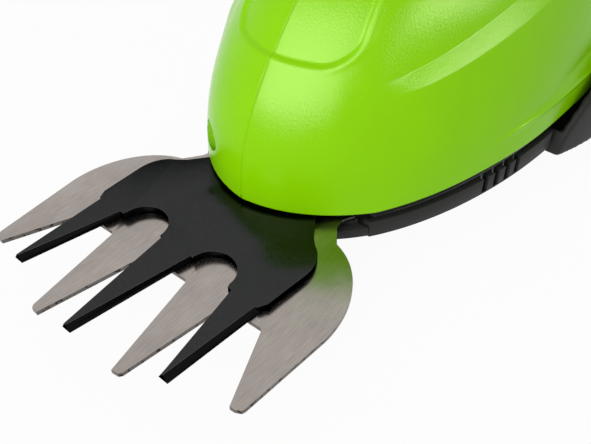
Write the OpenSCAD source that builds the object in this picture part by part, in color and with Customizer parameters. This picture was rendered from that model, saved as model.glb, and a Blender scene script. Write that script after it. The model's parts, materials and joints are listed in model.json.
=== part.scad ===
/* [Blades] */
// Distance between the tips of the outer teeth
blade_span = 80; // [70:1:90]
// Distance from the blade pivot to the line of the outer tips
blade_reach = 60; // [56:1:66]
// Lead of the inner teeth past the outer tips
inner_lead = 9.8; // [6:0.2:14]
// Depth of the notches behind the outer tips
notch_depth = 19; // [15:0.5:22]
// Thickness of the lower blade
lower_t = 1.2; // [0.8:0.1:1.4]
// Thickness of the upper blade
upper_t = 2; // [1.5:0.1:2.2]
// Height of the lower blade's top face above the floor
blade_z = 6; // [5.6:0.1:6.2]
// Gap between the two blades
blade_gap = 0.15; // [0.1:0.05:0.3]
// Turn of the upper blade at rest, teeth towards -X
blade_turn = 2.7; // [0:0.1:6]
// Radius of the pivot bolt's shoulder
bolt_r = 4; // [3:0.25:5]

/* [Head] */
// Half of the head's width
head_half_w = 49; // [46:0.5:52]
// Length of the head from its widest place to the nose
head_front = 93; // [90:1:98]
// Length of the head from its widest place to its back
head_rear = 34; // [30:1:38]
// Distance from the blade pivot back to the head's widest place
head_mid = 80; // [78:1:84]
// Height of the head's lower rim above the floor
rim_z = 10.5; // [10.2:0.1:12]
// Height of the crest above the rim
crest_h = 95; // [90:1:100]
// Distance from the blade pivot back to the crest
crest_mid = 155; // [145:1:165]
// Wall of the mouldings
wall = 2.5; // [2:0.1:3]

/* [Rear body] */
// Half of the rear body's width at the floor
low_half_w = 57.5; // [55:0.5:62]
// Height of the deck below the finger loop
deck_z = 34; // [32:0.5:36]
// Distance from the blade pivot back to the front tip
low_tip = 66; // [66:0.5:70]
// Length of the swept front edge
sweep_len = 60; // [50:1:70]
// Distance from the blade pivot back to the widest place
low_mid = 98; // [92:1:104]
// Radius of the plan in front of the widest place
low_front = 72; // [66:1:80]
// Length of the plan behind the widest place
low_rear = 138; // [132:1:146]
// Distance from the blade pivot back to the middle of the sole
sole_back = 140; // [132:1:150]

/* [Handle] */
// Length of the finger loop
loop_len = 92; // [86:1:100]
// Height of the finger loop
loop_h = 40; // [36:1:42]
// Distance from the blade pivot back to the loop's middle
loop_mid = 162; // [158:1:166]
// Half of the handle bar's width
bar_half_w = 16.5; // [15:0.5:19]
// Thickness of the bar above the loop
bar_t = 31.5; // [30:0.5:34]
// Thickness of the post behind the loop
post_t = 28; // [24:0.5:32]
// Thickness of the soft grip pads
grip_t = 1; // [0.6:0.1:1.6]
// Half width of the trigger
trigger_half_w = 6; // [5:0.5:7]
// Travel of the lock button
lock_travel = 3; // [2:0.5:3.5]

/* [Drive] */
// Distance from the blade pivot back to the crank
crank_arm = 30; // [28:0.5:32]
// Throw of the crank
crank_throw = 4.2; // [4:0.1:5]
// Radius of the crank pin
crank_pin_r = 1.6; // [1.2:0.1:1.7]
// Gear module
gear_module = 1; // [0.9:0.02:1.04]
// Teeth of the pinion
pinion_teeth = 12; // [12:1:13]
// Teeth of the drive gear
gear_teeth = 36; // [34:1:36]
// Face width of the gears
gear_face = 5.4; // [4:0.2:5.6]
// Radius of the motor can
motor_r = 13.85; // [12:0.05:15]
// Length of the motor can
motor_len = 34; // [30:0.5:38]
// Radius of the motor shaft
shaft_r = 1.15; // [1:0.05:1.5]
// Radius of the gear spindle
spindle_r = 2; // [1.5:0.1:2.1]

/* [Battery and electrics] */
// Radius of a cell
cell_r = 9.2; // [8:0.1:9.4]
// Length of a cell
cell_len = 65; // [50:0.5:66]
// Width of the control board
board_w = 40; // [36:1:50]
// Length of the control board
board_len = 34; // [30:1:36]
// Thickness of the control board
board_t = 1.6; // [1:0.1:2]
// Radius of the charge socket's barrel
jack_r = 5.5; // [4.5:0.1:6]
// Radius of the housing screws
screw_r = 1.5; // [1.2:0.1:1.8]

/* [Hidden] */
$fn = 64;

// Plastic, metal and trim colours
green = "#8ad700";
dark = "#434241";
black = "#2b2c2e";
steel = "#a59b94";

// Small gap between pieces that do not touch
gap = 0.3;
// Running clearance of a pin in its bore
run = 0.05;
// Length past a face for a clean cut
past = 1;
// Length past the whole object
far = 300;

// Places along Y
pivot_y = -sole_back;
tip_y = pivot_y - blade_reach;
head_y = pivot_y + head_mid;
nose_y = head_y - head_front;
head_back_y = head_y + head_rear;
crest_y = pivot_y + crest_mid;
low_y = pivot_y + low_mid;
low_tip_y = pivot_y + low_tip;
low_back_y = low_y + low_rear;
loop_y = pivot_y + loop_mid;
loop_z = deck_z + loop_h/2;
crank_y = pivot_y + crank_arm;
mesh_gap = 0.05;
motor_y = crank_y + gear_module*(gear_teeth + pinion_teeth)/2 + mesh_gap;

// Heights of the drive
cover_t = 1.4;
cover_z = rim_z - 0.1;
gear_z = cover_z + cover_t + 0.4;
plate_z = gear_z + gear_face + 0.4;
plate_t = 3;
motor_z = plate_z + plate_t;
upper_z = blade_z + blade_gap;

// Head shape: elliptic plan in front, blunt behind, elliptic crest line
back_n = 2.6;
function head_w(y, o) = (head_half_w - o)*(y < head_y
    ? sqrt(max(0, 1 - pow((head_y - y)/(head_front - o), 2)))
    : pow(max(0, 1 - pow((y - head_y)/(head_rear - o), back_n)), 1/back_n));
function head_h(y, o) = (crest_h - o)*sqrt(max(0, 1 - pow((crest_y - y)/(crest_y - nose_y - o), 2)));
function head_x(y, z, o) = head_w(y, o)*sqrt(max(0, 1 - pow((z - rim_z)/head_h(y, o), 2)));
function head_stations(o, n) = concat(
    [for (i = [0:n]) head_y - (head_front - o)*cos(3 + 87*i/n)],
    [for (i = [1:n/2]) head_y + (head_rear - o)*sin(86*i/(n/2))]);

// Rear body shape: boat plan with a flat sole and a rounded deck
low_n = 1.8;
low_sn = 4;
function low_w(y, o) = (low_half_w - o)*(y < low_y
    ? sqrt(max(0, 1 - pow((low_y - y)/low_front, 2)))
    : pow(max(0, 1 - pow((y - low_y)/(low_rear - o), low_n)), 1/low_n));

// Handle loop: the finger hole and the outer line are both worked out in polar form about its middle
hole_n = 3;
outer_n = 2.6;
outer_front = 120;
root_y = head_back_y - 16;
loop_from = -45;
loop_to = 168;
loop_steps = 26;
ring_steps = 12;
function loop_angle(i) = loop_from + (loop_to - loop_from)*i/loop_steps;
function super_r(p, a, b, n) = 1/pow(pow(abs(cos(p))/a, n) + pow(abs(sin(p))/b, n), 1/n);
function hole_r(p) = super_r(p, loop_len/2, loop_h/2, hole_n);
function outer_r(p) = super_r(p, cos(p) < 0 ? outer_front : loop_len/2 + post_t,
                              sin(p) > 0 ? loop_h/2 + bar_t : loop_z, outer_n);
bar_flare = 8;
bar_narrow = 95;
function bar_w(p) = bar_half_w + bar_flare*pow((p - bar_narrow)/140, 2);
bar_n = 2.5;
function bar_point(p, s, o) =
    let (mid = (outer_r(p) + hole_r(p))/2, half = (outer_r(p) - hole_r(p))/2 - o, c = cos(s),
         r = mid + half*sign(c)*pow(abs(c), 2/bar_n))
    [(bar_w(p) - o)*pow(abs(sin(s)), 2/bar_n), loop_y + r*cos(p), loop_z + r*sin(p)];

// Skin between matching rings of points, closed by a face at each end
module loft(rings) {
    n = len(rings[0]);
    m = len(rings);
    sides = [for (i = [0:m - 2]) for (j = [0:n - 1])
        let (a = i*n + j, b = i*n + (j + 1) % n)
        each [[a, b, b + n], [a, b + n, a + n]]];
    polyhedron([for (r = rings) each r],
               concat(sides, [[for (j = [n - 1:-1:0]) j]], [[for (j = [0:n - 1]) (m - 1)*n + j]]),
               convexity = 8);
}

// Extrusion of a side view drawn as [y, z], centred on X
module side_extrude(width) rotate([90, 0, 90]) translate([0, 0, -width/2]) linear_extrude(width) children();

// Cylinder along X from one x to another
module x_rod(x0, x1, r) translate([x0, 0, 0]) rotate([0, 90, 0]) cylinder(h = x1 - x0, r = r);

// Tube swept along hand-set points, smoothed with a spline
function spline(p, i, t) =
    let (n = len(p), a = p[max(i - 1, 0)], b = p[i], c = p[i + 1], d = p[min(i + 2, n - 1)])
    0.5*((2*b) + (c - a)*t + (2*a - 5*b + 4*c - d)*t*t + (3*b - a - 3*c + d)*t*t*t);
function smooth(p, k) = concat([for (i = [0:len(p) - 2]) for (j = [0:k - 1]) spline(p, i, j/k)], [p[len(p) - 1]]);
function unit(v) = v/norm(v);
module tube(p, r, sides) {
    m = len(p);
    dirs = [for (i = [0:m - 1]) unit(p[min(i + 1, m - 1)] - p[max(i - 1, 0)])];
    rings = [for (i = [0:m - 1])
        let (d = dirs[i], u = unit(cross(d, abs(d[0]) > 0.9 ? [0, 1, 0] : [1, 0, 0])), v = cross(d, u))
        [for (j = [0:sides - 1]) p[i] + r*(u*cos(360*j/sides) + v*sin(360*j/sides))]];
    loft([for (i = [m - 1:-1:0]) rings[i]]);
}

// Coil spring standing on z = 0; each ring of the wire lies in a plane through the coil's axis
module coil(length, r, wire_r, turns) {
    steps = 12*turns;
    rise = length - 2*wire_r;
    loft([for (i = [0:steps]) let (a = 30*i, z = wire_r + rise*i/steps)
        [for (j = [0:5]) let (w = r + wire_r*cos(60*j)) [w*cos(a), w*sin(a), z + wire_r*sin(60*j)]]]);
}

// Involute spur gear outline, with a tooth centred on +X
pressure = 25;
addendum = 0.9;
dedendum = 1.15;
tooth_play = 0.084;
function inv(a) = tan(a)*180/PI - a;
function involute(base, r) = let (a = acos(min(1, base/r))) inv(a);
module gear_outline(teeth) {
    pitch = gear_module*teeth/2;
    base = pitch*cos(pressure);
    tip = pitch + addendum*gear_module;
    root = pitch - dedendum*gear_module;
    start = max(base, root);
    half = 90/teeth - tooth_play*gear_module/pitch*180/PI + inv(pressure);
    steps = 6;
    flank = [for (i = [0:steps]) let (r = start + (tip - start)*i/steps) [r, half - involute(base, r)]];
    tooth = concat([[root, half]], flank);
    polygon([for (k = [0:teeth - 1]) let (c = 360*k/teeth)
        each concat([for (i = [0:len(tooth) - 1]) let (q = tooth[i]) q[0]*[cos(c - q[1]), sin(c - q[1])]],
                    [for (i = [len(tooth) - 1:-1:0]) let (q = tooth[i]) q[0]*[cos(c + q[1]), sin(c + q[1])]])]);
}

// Screws that join the halves: [y, z]
post_r = 4.6;
nose_screw = [nose_y + 6.5, rim_z + 7];
root_screw = [root_y + 7, loop_z + 31];
bar_screw = [loop_y + 14, loop_z + 36];
post_screw = [loop_y + loop_len/2 + post_t/2, loop_z + 8];
tail_screw = [low_back_y - 21, deck_z - 12];
deck_screw = [head_back_y + post_r + past, deck_z - 8];
head_screws = [nose_screw];
body_screws = [root_screw, bar_screw, post_screw, tail_screw, deck_screw];
well_r = 3.2;
screw_play = 0.2;
seat_x = 6;
screw_end = 9;

// Posts along X that carry the screws
module screw_posts(list) for (s = list) translate([0, s[0], s[1]]) x_rod(0, head_half_w, post_r);

// Bores in the left half for a list of screws, drawn for x > 0
module screw_wells(list) for (s = list) translate([0, s[0], s[1]]) {
    x_rod(-past, seat_x + past, screw_r + screw_play);
    x_rod(seat_x, low_half_w + past, well_r);
}
module screw_pilots(list) for (s = list) translate([0, s[0], s[1]]) x_rod(-past, screw_end, screw_r);

// The rim dips beside the blades and rises towards the nose and the rear
rise_y = pivot_y + 5;
rim_dip = 2.3;
rim_high = 2;
nose_rise = 0.095;
rear_rise = 0.075;
function rim_bend(y) = y < rise_y ? nose_rise*(rise_y - y) - rim_dip : min(rim_high, rear_rise*(y - rise_y) - rim_dip);
function head_z(y, h, s) = rim_z + h*sin(s) + rim_bend(y)*pow(1 - sin(s), 3);

// One half of the head as a solid, for x > x0, shrunk by o
module head_half(o, x0, n, m) {
    from = x0 < 0 ? -8 : 0;
    loft([for (y = head_stations(o, n))
        let (w = head_w(y, o), h = head_h(y, o))
        concat([for (j = [0:m]) let (s = from + (90 - from)*j/m) [w*cos(s), y, head_z(y, h, s)]],
               x0 < 0 ? [[x0, y, rim_z + h]] : [],
               [[x0, y, head_z(y, h, from)]])]);
}

// One half of the lower rear body as a solid, for x > x0, shrunk by o
module low_half(o, x0, n, m) {
    from = low_tip_y - 4;
    ys = concat([for (i = [0:n/2]) from + (low_y - from)*i/(n/2)],
                [for (i = [1:n]) low_y + (low_rear - o)*sin(86*i/n)]);
    loft([for (y = ys) let (w = low_w(y, o), h = deck_z - 2*o)
        concat([for (j = [0:m]) let (s = 90*j/m)
                   [w*pow(cos(s), 2/low_sn), y, o + h*pow(sin(s), 2/low_sn)]],
               x0 < 0 ? [[x0, y, o + h]] : [],
               [[x0, y, o]])]);
}

// One half of the handle loop as a solid, for x > x0, shrunk by o
module loop_half(o, x0, n, m) {
    last = o > 0 ? loop_to - 3 : loop_to;
    intersection() {
        loft([for (i = [0:n]) let (p = loop_from + (last - loop_from)*i/n)
            concat([for (j = [0:m]) bar_point(p, 180*j/m, o)],
                   x0 < 0 ? [let (q = bar_point(p, 180, o)) [x0, q[1], q[2]]] : [],
                   x0 < 0 ? [let (q = bar_point(p, 0, o)) [x0, q[1], q[2]]] : [])]);
        translate([-2*past, o > 0 ? root_y - past : root_y, 0]) cube(far);
    }
}

// Side view of everything behind the rear body's swept front edge, moved back by o
module sweep_side(o) {
    from = low_tip_y + o;
    high = deck_z + past;
    polygon(concat([for (i = [0:12]) [from + sweep_len*(1 - cos(90*i/12)), high*sin(90*i/12)]],
                   [[low_back_y + past, high], [low_back_y + past, -past], [from, -past]]));
}

// Posts of the gear plate: [x, y]
plate_posts = [[27, crank_y - 12], [37, motor_y + 2]];
plate_post_r = 4;
plate_bite = 11;

// Right half of the head, before the bores of its own side
module head_shell() {
    difference() {
        union() {
            difference() {
                head_half(0, 0, 22, 14);
                head_half(wall, -past, 14, 10);
            }
            intersection() {
                union() {
                    screw_posts(head_screws);
                    for (p = plate_posts) translate([p[0], p[1], motor_z]) cylinder(h = crest_h, r = plate_post_r);
                }
                head_half(wall/2, 0, 14, 10);
            }
        }
        loop_half(-gap, -past, loop_steps, ring_steps);
        for (p = plate_posts) translate([p[0], p[1], motor_z - past]) cylinder(h = plate_bite + past + gap, r = screw_r);
    }
}

module head_left() color(green) mirror([1, 0, 0]) difference() {
    head_shell();
    screw_wells(head_screws);
}

module head_right() color(green) difference() {
    head_shell();
    screw_pilots(head_screws);
}

// Trigger and lock places
trigger_ahead = 34;
trigger_up = 28;
trigger_y = loop_y - trigger_ahead;
trigger_z = loop_z + trigger_up;
trigger_pin_r = 1.5;
trigger_pin_half = 11;
trigger_hub_r = 4;
trigger_len = 38;
plunger_y = trigger_y + 20;
plunger_r = 1.2;
plunger_out = 2.6;
plunger_len = 4.6;
spring_y = trigger_y + 11;
spring_r = 2.4;
wire_r = 0.4;
spring_low = trigger_z + 2.6;
spring_high = trigger_z + 13;
switch_len = 20;
switch_half_w = 3.2;
switch_y = plunger_y - 4;
switch_z = trigger_z + 4.5;
switch_h = 10.5;
lock_y = trigger_y;
lock_half_w = 6;
lock_len = 14;
lock_top = loop_z + loop_h/2 + bar_t + 2;
lock_low = lock_top - 9.5;
lock_flange_t = 2.4;
spring_solid = 6;
lock_seat = lock_low - lock_travel - spring_solid;
rib_t = 2;

// Rear socket and light
jack_z = 13;
jack_len = 14;
jack_deep = 0.8;
jack_floor = 4;
jack_bore = 2.75;
jack_pin = 0.9;
light_r = 1.5;
light_z = 25;
light_len = 10;

// Board and cells
board_y = low_tip_y + 8;
board_z = 6;
board_inset = 4;
holder_y = board_y + board_len + 14;
holder_wall = 1.5;
cell_x = cell_r + 0.4;
cell_z = wall + holder_wall + cell_r;
holder_h = holder_wall + cell_r*0.8;

// Gap between the head and the rear body's top
body_gap = 1.2;

// Rib on the front wall that closes the gap behind the blade cassette
rib_out = 1.2;
rib_half_w = 38;
rib_low = 0.6;
rib_top = rim_z - 1.5;
module front_rib() translate([0, low_tip_y - rib_out, rib_low]) cube([rib_half_w, rib_out + wall, rib_top - rib_low]);

// Right half of the rear body, before the bores of its own side
module body_shell() {
    difference() {
        union() {
            difference() {
                union() {
                    difference() {
                        intersection() {
                            low_half(0, 0, 16, 8);
                            side_extrude(4*low_half_w) sweep_side(0);
                        }
                        difference() {
                            head_half(-body_gap, -past, 14, 8);
                            translate([-2*past, nose_y - far/2, 0]) cube([far, far, rim_z - gap]);
                        }
                    }
                    loop_half(0, 0, loop_steps, ring_steps);
                }
                intersection() {
                    low_half(wall, -past, 14, 7);
                    translate([-2*past, low_tip_y + wall, 0]) cube(far);
                }
                loop_half(wall, -past, 20, 8);
            }
            front_rib();
            intersection() {
                union() {
                    screw_posts(body_screws);
                    body_ribs();
                }
                union() {
                    low_half(wall/2, 0, 14, 7);
                    loop_half(wall/2, 0, 20, 8);
                }
            }
        }
        body_cuts();
    }
}

// Ribs inside the right half that seat the trigger pin, the switch, the springs and the board
module body_ribs() {
    translate([0, trigger_y, trigger_z]) x_rod(trigger_half_w + gap, low_half_w, trigger_pin_r + rib_t);
    translate([switch_half_w, switch_y + 3, switch_z + 2]) cube([low_half_w, switch_len - 6, 5]);
    translate([0, spring_y - spring_r, spring_high]) cube([low_half_w, 2*spring_r, rib_t]);
    translate([0, lock_y - spring_r, lock_seat - rib_t]) cube([low_half_w, 2*spring_r, rib_t]);
    for (y = [board_y + board_inset, board_y + board_len - board_inset])
        translate([board_w/2 - board_inset, y, wall/2]) cylinder(h = board_z - wall/2, r = 2.5);
}

// Openings of the rear body on both sides of the seam
module body_cuts() {
    slot = trigger_half_w + 2*gap;
    translate([-slot, trigger_y - trigger_hub_r - 2*gap, loop_z])
        cube([2*slot, trigger_len + 6, trigger_z - loop_z + 2]);
    translate([-lock_half_w - gap, lock_y - lock_len/2 - gap, lock_low])
        cube([2*lock_half_w + 2*gap, lock_len + 2*gap, far]);
    translate([0, trigger_y, trigger_z]) x_rod(-past, trigger_pin_half, trigger_pin_r);
    translate([0, low_back_y - jack_len, jack_z]) rotate([-90, 0, 0]) cylinder(h = far, r = jack_r);
    translate([0, low_back_y - jack_len, light_z]) rotate([-90, 0, 0]) cylinder(h = far, r = light_r);
}

module body_left() color(dark) mirror([1, 0, 0]) difference() {
    body_shell();
    screw_wells(body_screws);
}

module body_right() color(dark) difference() {
    body_shell();
    screw_pilots(body_screws);
}

// Soft pad on the right side of the bar, between two steps of the loop and of its rings
grip_first = 11;
grip_last = 20;
grip_edge = 3;
grip_fit = 0.12;
module grip_shell() {
    edges = [for (j = [grip_edge:ring_steps - grip_edge]) 180*j/ring_steps];
    loft([for (i = [grip_first:grip_last]) let (p = loop_angle(i))
        concat([for (s = edges) bar_point(p, s, -grip_t)],
               [for (k = [len(edges) - 1:-1:0]) bar_point(p, edges[k], -grip_fit)])]);
}

module grip_left() color(black) mirror([1, 0, 0]) grip_shell();

module grip_right() color(black) grip_shell();

// Gear plate: spans the head above the gears
cover_r = gear_module*gear_teeth/2 + 2.6;
plate_inset = 2;
plate_front = crank_y - cover_r;
plate_back = motor_y + motor_r + 3;
cover_wall = 2;
pinion_pocket_r = gear_module*pinion_teeth/2 + 3;
ear_r = 3.4;
ear_x = cover_r + ear_r;
back_ear_x = pinion_pocket_r + cover_wall + ear_r - gap;
ears = [for (side = [-1, 1]) each [[side*ear_x, crank_y - 4], [side*back_ear_x, motor_y + 2]]];
ear_screw_r = 1.25;
motor_screw_x = 8;
motor_head_r = 2.3;
motor_head_t = 1.6;
motor_boss_r = 5;
module gear_plate() color("#b9bcc0") translate([0, 0, plate_z]) difference() {
    linear_extrude(plate_t) polygon(concat(
        [for (i = [0:12]) let (y = plate_front + (plate_back - plate_front)*i/12)
            [head_x(y, motor_z, wall) - plate_inset, y]],
        [for (i = [12:-1:0]) let (y = plate_front + (plate_back - plate_front)*i/12)
            [plate_inset - head_x(y, motor_z, wall), y]]));
    translate([0, motor_y, -past]) cylinder(h = plate_t + 2*past, r = motor_boss_r);
    translate([0, crank_y, -past]) cylinder(h = plate_t + 2*past, r = spindle_r);
    for (e = ears) translate([e[0], e[1], -past]) cylinder(h = plate_t + 2*past, r = ear_screw_r);
    for (x = [-motor_screw_x, motor_screw_x]) translate([x, motor_y, -past]) {
        cylinder(h = plate_t + 2*past, r = ear_screw_r);
        cylinder(h = past + motor_head_t, r = motor_head_r);
    }
    for (p = plate_posts, side = [-1, 1]) translate([side*p[0], p[1], -past])
        cylinder(h = plate_t + 2*past, r = screw_r + screw_play);
}

// Gear cover: shallow tray below the gears, open for the crank pin
module gear_cover() color("#3a3b3d") translate([0, 0, cover_z]) difference() {
    h = plate_z - cover_z;
    union() {
        translate([0, crank_y, 0]) cylinder(h = h, r = cover_r + cover_wall);
        translate([0, motor_y, 0]) cylinder(h = h, r = pinion_pocket_r + cover_wall);
        for (e = ears) translate([e[0], e[1], 0]) cylinder(h = h, r = ear_r);
    }
    translate([0, crank_y, cover_t]) cylinder(h = h, r = cover_r);
    translate([0, motor_y, cover_t]) cylinder(h = h, r = pinion_pocket_r);
    translate([0, crank_y, -past]) cylinder(h = h, r = crank_throw + crank_pin_r + 2*gap);
    for (e = ears) translate([e[0], e[1], -past]) cylinder(h = h + 2*past, r = ear_screw_r + screw_play);
}

module gear_spindle() color(steel) translate([0, crank_y, gear_z]) cylinder(h = motor_z - gear_z, r = spindle_r);

// Motor, standing on the gear plate
can_wall = 0.9;
magnet_t = 3.4;
air = 0.5;
bush_r = 3;
end_cap_t = 4;
tag_w = 3;
tag_t = 0.8;
tag_h = 4;
commutator_r = 2.8;
commutator_h = 6;
pole_gap = 6;
slot_w = 1.8;
core_r = motor_r - can_wall - magnet_t - air;
shaft_low = gear_z;
module motor_can() color("#c9c9c6") translate([0, motor_y, motor_z]) difference() {
    union() {
        cylinder(h = motor_len, r = motor_r);
        translate([0, 0, -plate_t + gap]) cylinder(h = plate_t, r = motor_boss_r);
    }
    translate([0, 0, can_wall]) cylinder(h = motor_len, r = motor_r - can_wall);
    translate([0, 0, -plate_t]) cylinder(h = plate_t + 2*can_wall, r = bush_r);
    for (x = [-motor_screw_x, motor_screw_x]) translate([x, 0, -past]) cylinder(h = past + 2*can_wall, r = ear_screw_r);
}

module motor_end_cap() color(black) translate([0, motor_y, motor_z + motor_len]) difference() {
    union() {
        cylinder(h = end_cap_t, r = motor_r - 0.6);
        for (x = [-motor_screw_x, motor_screw_x]) translate([x - tag_w/2, -tag_t/2, 0])
            cube([tag_w, tag_t, end_cap_t + tag_h]);
    }
    translate([0, 0, -past]) cylinder(h = end_cap_t + 2*past, r = bush_r);
}

module motor_magnets() color("#55585c") translate([0, motor_y, motor_z + 4]) difference() {
    cylinder(h = motor_len - 10, r = motor_r - can_wall);
    translate([0, 0, -past]) cylinder(h = motor_len, r = motor_r - can_wall - magnet_t);
    translate([-pole_gap/2, -motor_r, -past]) cube([pole_gap, 2*motor_r, motor_len]);
}

module motor_bushes() color("#b08d57") translate([0, motor_y, 0]) difference() {
    union() {
        translate([0, 0, motor_z - plate_t + gap]) cylinder(h = plate_t + can_wall - gap, r = bush_r);
        translate([0, 0, motor_z + motor_len]) cylinder(h = end_cap_t, r = bush_r);
    }
    cylinder(h = motor_z + motor_len + 2*end_cap_t, r = shaft_r + run);
}

module armature() color("#8c5a2b") translate([0, motor_y, 0]) {
    translate([0, 0, shaft_low]) cylinder(h = motor_z + motor_len + end_cap_t - shaft_low, r = shaft_r);
    translate([0, 0, motor_z + 5]) difference() {
        cylinder(h = motor_len - 12, r = core_r);
        for (k = [0:2]) rotate(120*k) translate([core_r - pole_gap/2, -slot_w/2, -past]) cube([pole_gap, slot_w, motor_len]);
    }
    translate([0, 0, motor_z + motor_len - commutator_h - past]) cylinder(h = commutator_h, r = commutator_r);
}

module pinion() color("#c8b560") translate([0, motor_y, gear_z]) difference() {
    rotate(-90 + 180/pinion_teeth) linear_extrude(gear_face) gear_outline(pinion_teeth);
    translate([0, 0, -past]) cylinder(h = gear_face + 2*past, r = shaft_r);
}

// Crank angle from +Y at which the pin lies in the slot of the resting blade
crank_turn = asin(crank_arm/crank_throw*sin(blade_turn)) + blade_turn;
crank_x = crank_throw*sin(crank_turn);
crank_pin_y = crank_throw*cos(crank_turn);
pin_seat = 3.4;
web_deep = 1.6;
gear_rim = 3;
module drive_gear() color("#d8d6cf") translate([0, crank_y, gear_z]) difference() {
    rotate(90) linear_extrude(gear_face) gear_outline(gear_teeth);
    translate([0, 0, -past]) cylinder(h = gear_face + 2*past, r = spindle_r + run);
    translate([crank_x, crank_pin_y, -past]) cylinder(h = pin_seat + past, r = crank_pin_r);
    translate([0, 0, gear_face - web_deep]) difference() {
        cylinder(h = web_deep + past, r = gear_module*gear_teeth/2 - gear_rim);
        cylinder(h = web_deep + past, r = spindle_r + gear_rim);
    }
}

module crank_pin() color(steel) translate([crank_x, crank_y + crank_pin_y, upper_z + upper_t + gap])
    cylinder(h = gear_z + pin_seat - upper_z - upper_t - gap, r = crank_pin_r);

// Lower blade, half outline for x > 0 as [x, forward]
half_span = blade_span/2;
tip_w = 1.6;
inner_x = 14;
inner_tip_w = 1.25;
notch_cut = 0.7;
notch_in = 7;
notch_mid = 19;
notch_out = half_span - 9.3;
side_w = half_span + 3.2;
side_a = 21.2;
side_b = 26;
side_f = -26;
neck_w = 22.6;
neck_f = -blade_reach + 2.1;
tang_w = 17;
tang_f = -blade_reach - 22;
lower_half = concat(
    [[0, -notch_depth], [notch_in - notch_cut, -notch_depth], [notch_in, -notch_depth + notch_cut],
     [inner_x - inner_tip_w, inner_lead], [inner_x + inner_tip_w - 0.6, inner_lead - 0.2],
     [inner_x + inner_tip_w, inner_lead - 1], [notch_mid, -notch_depth + notch_cut],
     [notch_mid + notch_cut, -notch_depth],
     [notch_out - notch_cut, -notch_depth], [notch_out, -notch_depth + notch_cut],
     [half_span - tip_w + 0.2, 0.6], [half_span, 0.5], [half_span + tip_w - 0.3, -0.2], [half_span + tip_w, -1]],
    [for (i = [0:10]) let (t = 7.6*i) [side_w - side_a + side_a*cos(t), side_f - side_b*sin(t)]],
    [[side_w - 17.6, side_f - side_b - 1.2], [neck_w, neck_f], [neck_w - 2, neck_f - 6]],
    [for (i = [0:4]) let (t = 22.5*i) [tang_w - 5 + 5*cos(t), tang_f + 5 - 5*sin(t)]]);
module blade_plate(half, t) linear_extrude(t) polygon(concat(
    [for (p = half) [p[0], tip_y - p[1]]],
    [for (i = [len(half) - 1:-1:0]) [-half[i][0], tip_y - half[i][1]]]));

rivet_x = 11;
rivet_y = pivot_y + 17;
rivet_r = 2;
module lower_blade() color(steel) difference() {
    translate([0, 0, blade_z - lower_t]) blade_plate(lower_half, lower_t);
    translate([0, pivot_y, 0]) cylinder(h = 2*blade_z, r = bolt_r);
    for (x = [-rivet_x, rivet_x]) translate([x, rivet_y, 0]) cylinder(h = 2*blade_z, r = rivet_r);
}

// Upper blade, half outline of its plate behind the teeth
root_f = -24;
root_in = 5.5;
root_bow = 6.4;
root_mid = 12.2;
root_out = half_span - 11;
shoulder_w = half_span - 10;
shoulder_f = -38;
tail_w = 7;
tail_len = 38;
eye_r = 15;
slot_half = crank_pin_r + 0.15;
upper_half = concat(
    [[0, root_f - 2]],
    [for (i = [0:8]) let (t = 180 + 22.5*i) [root_mid + root_bow*cos(t), root_f + root_bow*sin(t)]],
    [[root_mid + root_bow + 0.4, root_f + 1], [root_out - 0.6, root_f + 1], [root_out + 0.5, root_f - 1.4]],
    [for (i = [0:7]) let (t = 10*i) [shoulder_w - 7 + 7*cos(t), shoulder_f - 9.3*sin(t)]],
    [[shoulder_w - 7, shoulder_f - 10.8], [shoulder_w - 10.5, shoulder_f - 15.5],
     [eye_r, -blade_reach], [eye_r - 3, -blade_reach - 7], [tail_w, -blade_reach - 14],
     [tail_w, -blade_reach - tail_len]]);

// Ground tooth: lower and upper outlines as [root inner, root outer, tip inner, tip outer] at the tip's lead
module tooth(low, high, lead) {
    back = root_f - 3;
    corner = function(q, z) [[q[0], tip_y - back, z], [q[1], tip_y - back, z],
                             [q[3], tip_y - lead, z], [q[2], tip_y - lead, z]];
    loft([corner(low, 0), corner(high, upper_t)]);
}

mid_low = 1.4;
mid_high = 0.3;
mid_lead = 9;
outer_lead = 3.6;
tooth_in = half_span - 20.6;
tooth_tip_in = half_span - 15;
tooth_tip_out = half_span - 12.1;
tooth_peak = half_span - 13.6;
module upper_blade() color(black) translate([0, pivot_y, upper_z]) rotate(-blade_turn) translate([0, -pivot_y, 0]) {
    difference() {
        blade_plate(upper_half, upper_t);
        translate([0, pivot_y, -past]) cylinder(h = upper_t + 2*past, r = bolt_r + run);
        translate([-slot_half, crank_y - crank_throw - slot_half, -past])
            cube([2*slot_half, 2*crank_throw + 20, upper_t + 2*past]);
    }
    tooth([-root_in, root_in, -mid_low, mid_low], [-root_in, root_in, -mid_high, mid_high], mid_lead);
    for (side = [0, 1]) mirror([side, 0, 0])
        tooth([tooth_in, root_out, tooth_tip_in, tooth_tip_out],
              [tooth_in, root_out - 1, tooth_peak - 0.2, tooth_peak + 0.2], outer_lead);
}

// Blade pivot: shoulder bolt from below, wave washer and nut on top
bolt_head_r = 7;
bolt_head_t = 1.8;
bolt_low = 0.4;
thread_r = bolt_r - 1;
shoulder_top = upper_z + upper_t + 0.1;
washer_t = 0.5;
nut_t = 2.8;
module blade_bolt() color(steel) translate([0, pivot_y, bolt_low]) difference() {
    union() {
        cylinder(h = bolt_head_t, r = bolt_head_r);
        cylinder(h = shoulder_top - bolt_low, r = bolt_r);
        cylinder(h = shoulder_top + washer_t + nut_t - bolt_low, r = thread_r);
    }
    translate([0, 0, -past]) cylinder(h = past + 1.2, r = 2.5, $fn = 6);
}

module wave_washer() color("#8d8f92") translate([0, pivot_y, shoulder_top]) difference() {
    cylinder(h = washer_t, r = bolt_r + 2.4);
    translate([0, 0, -past]) cylinder(h = washer_t + 2*past, r = thread_r);
}

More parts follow.
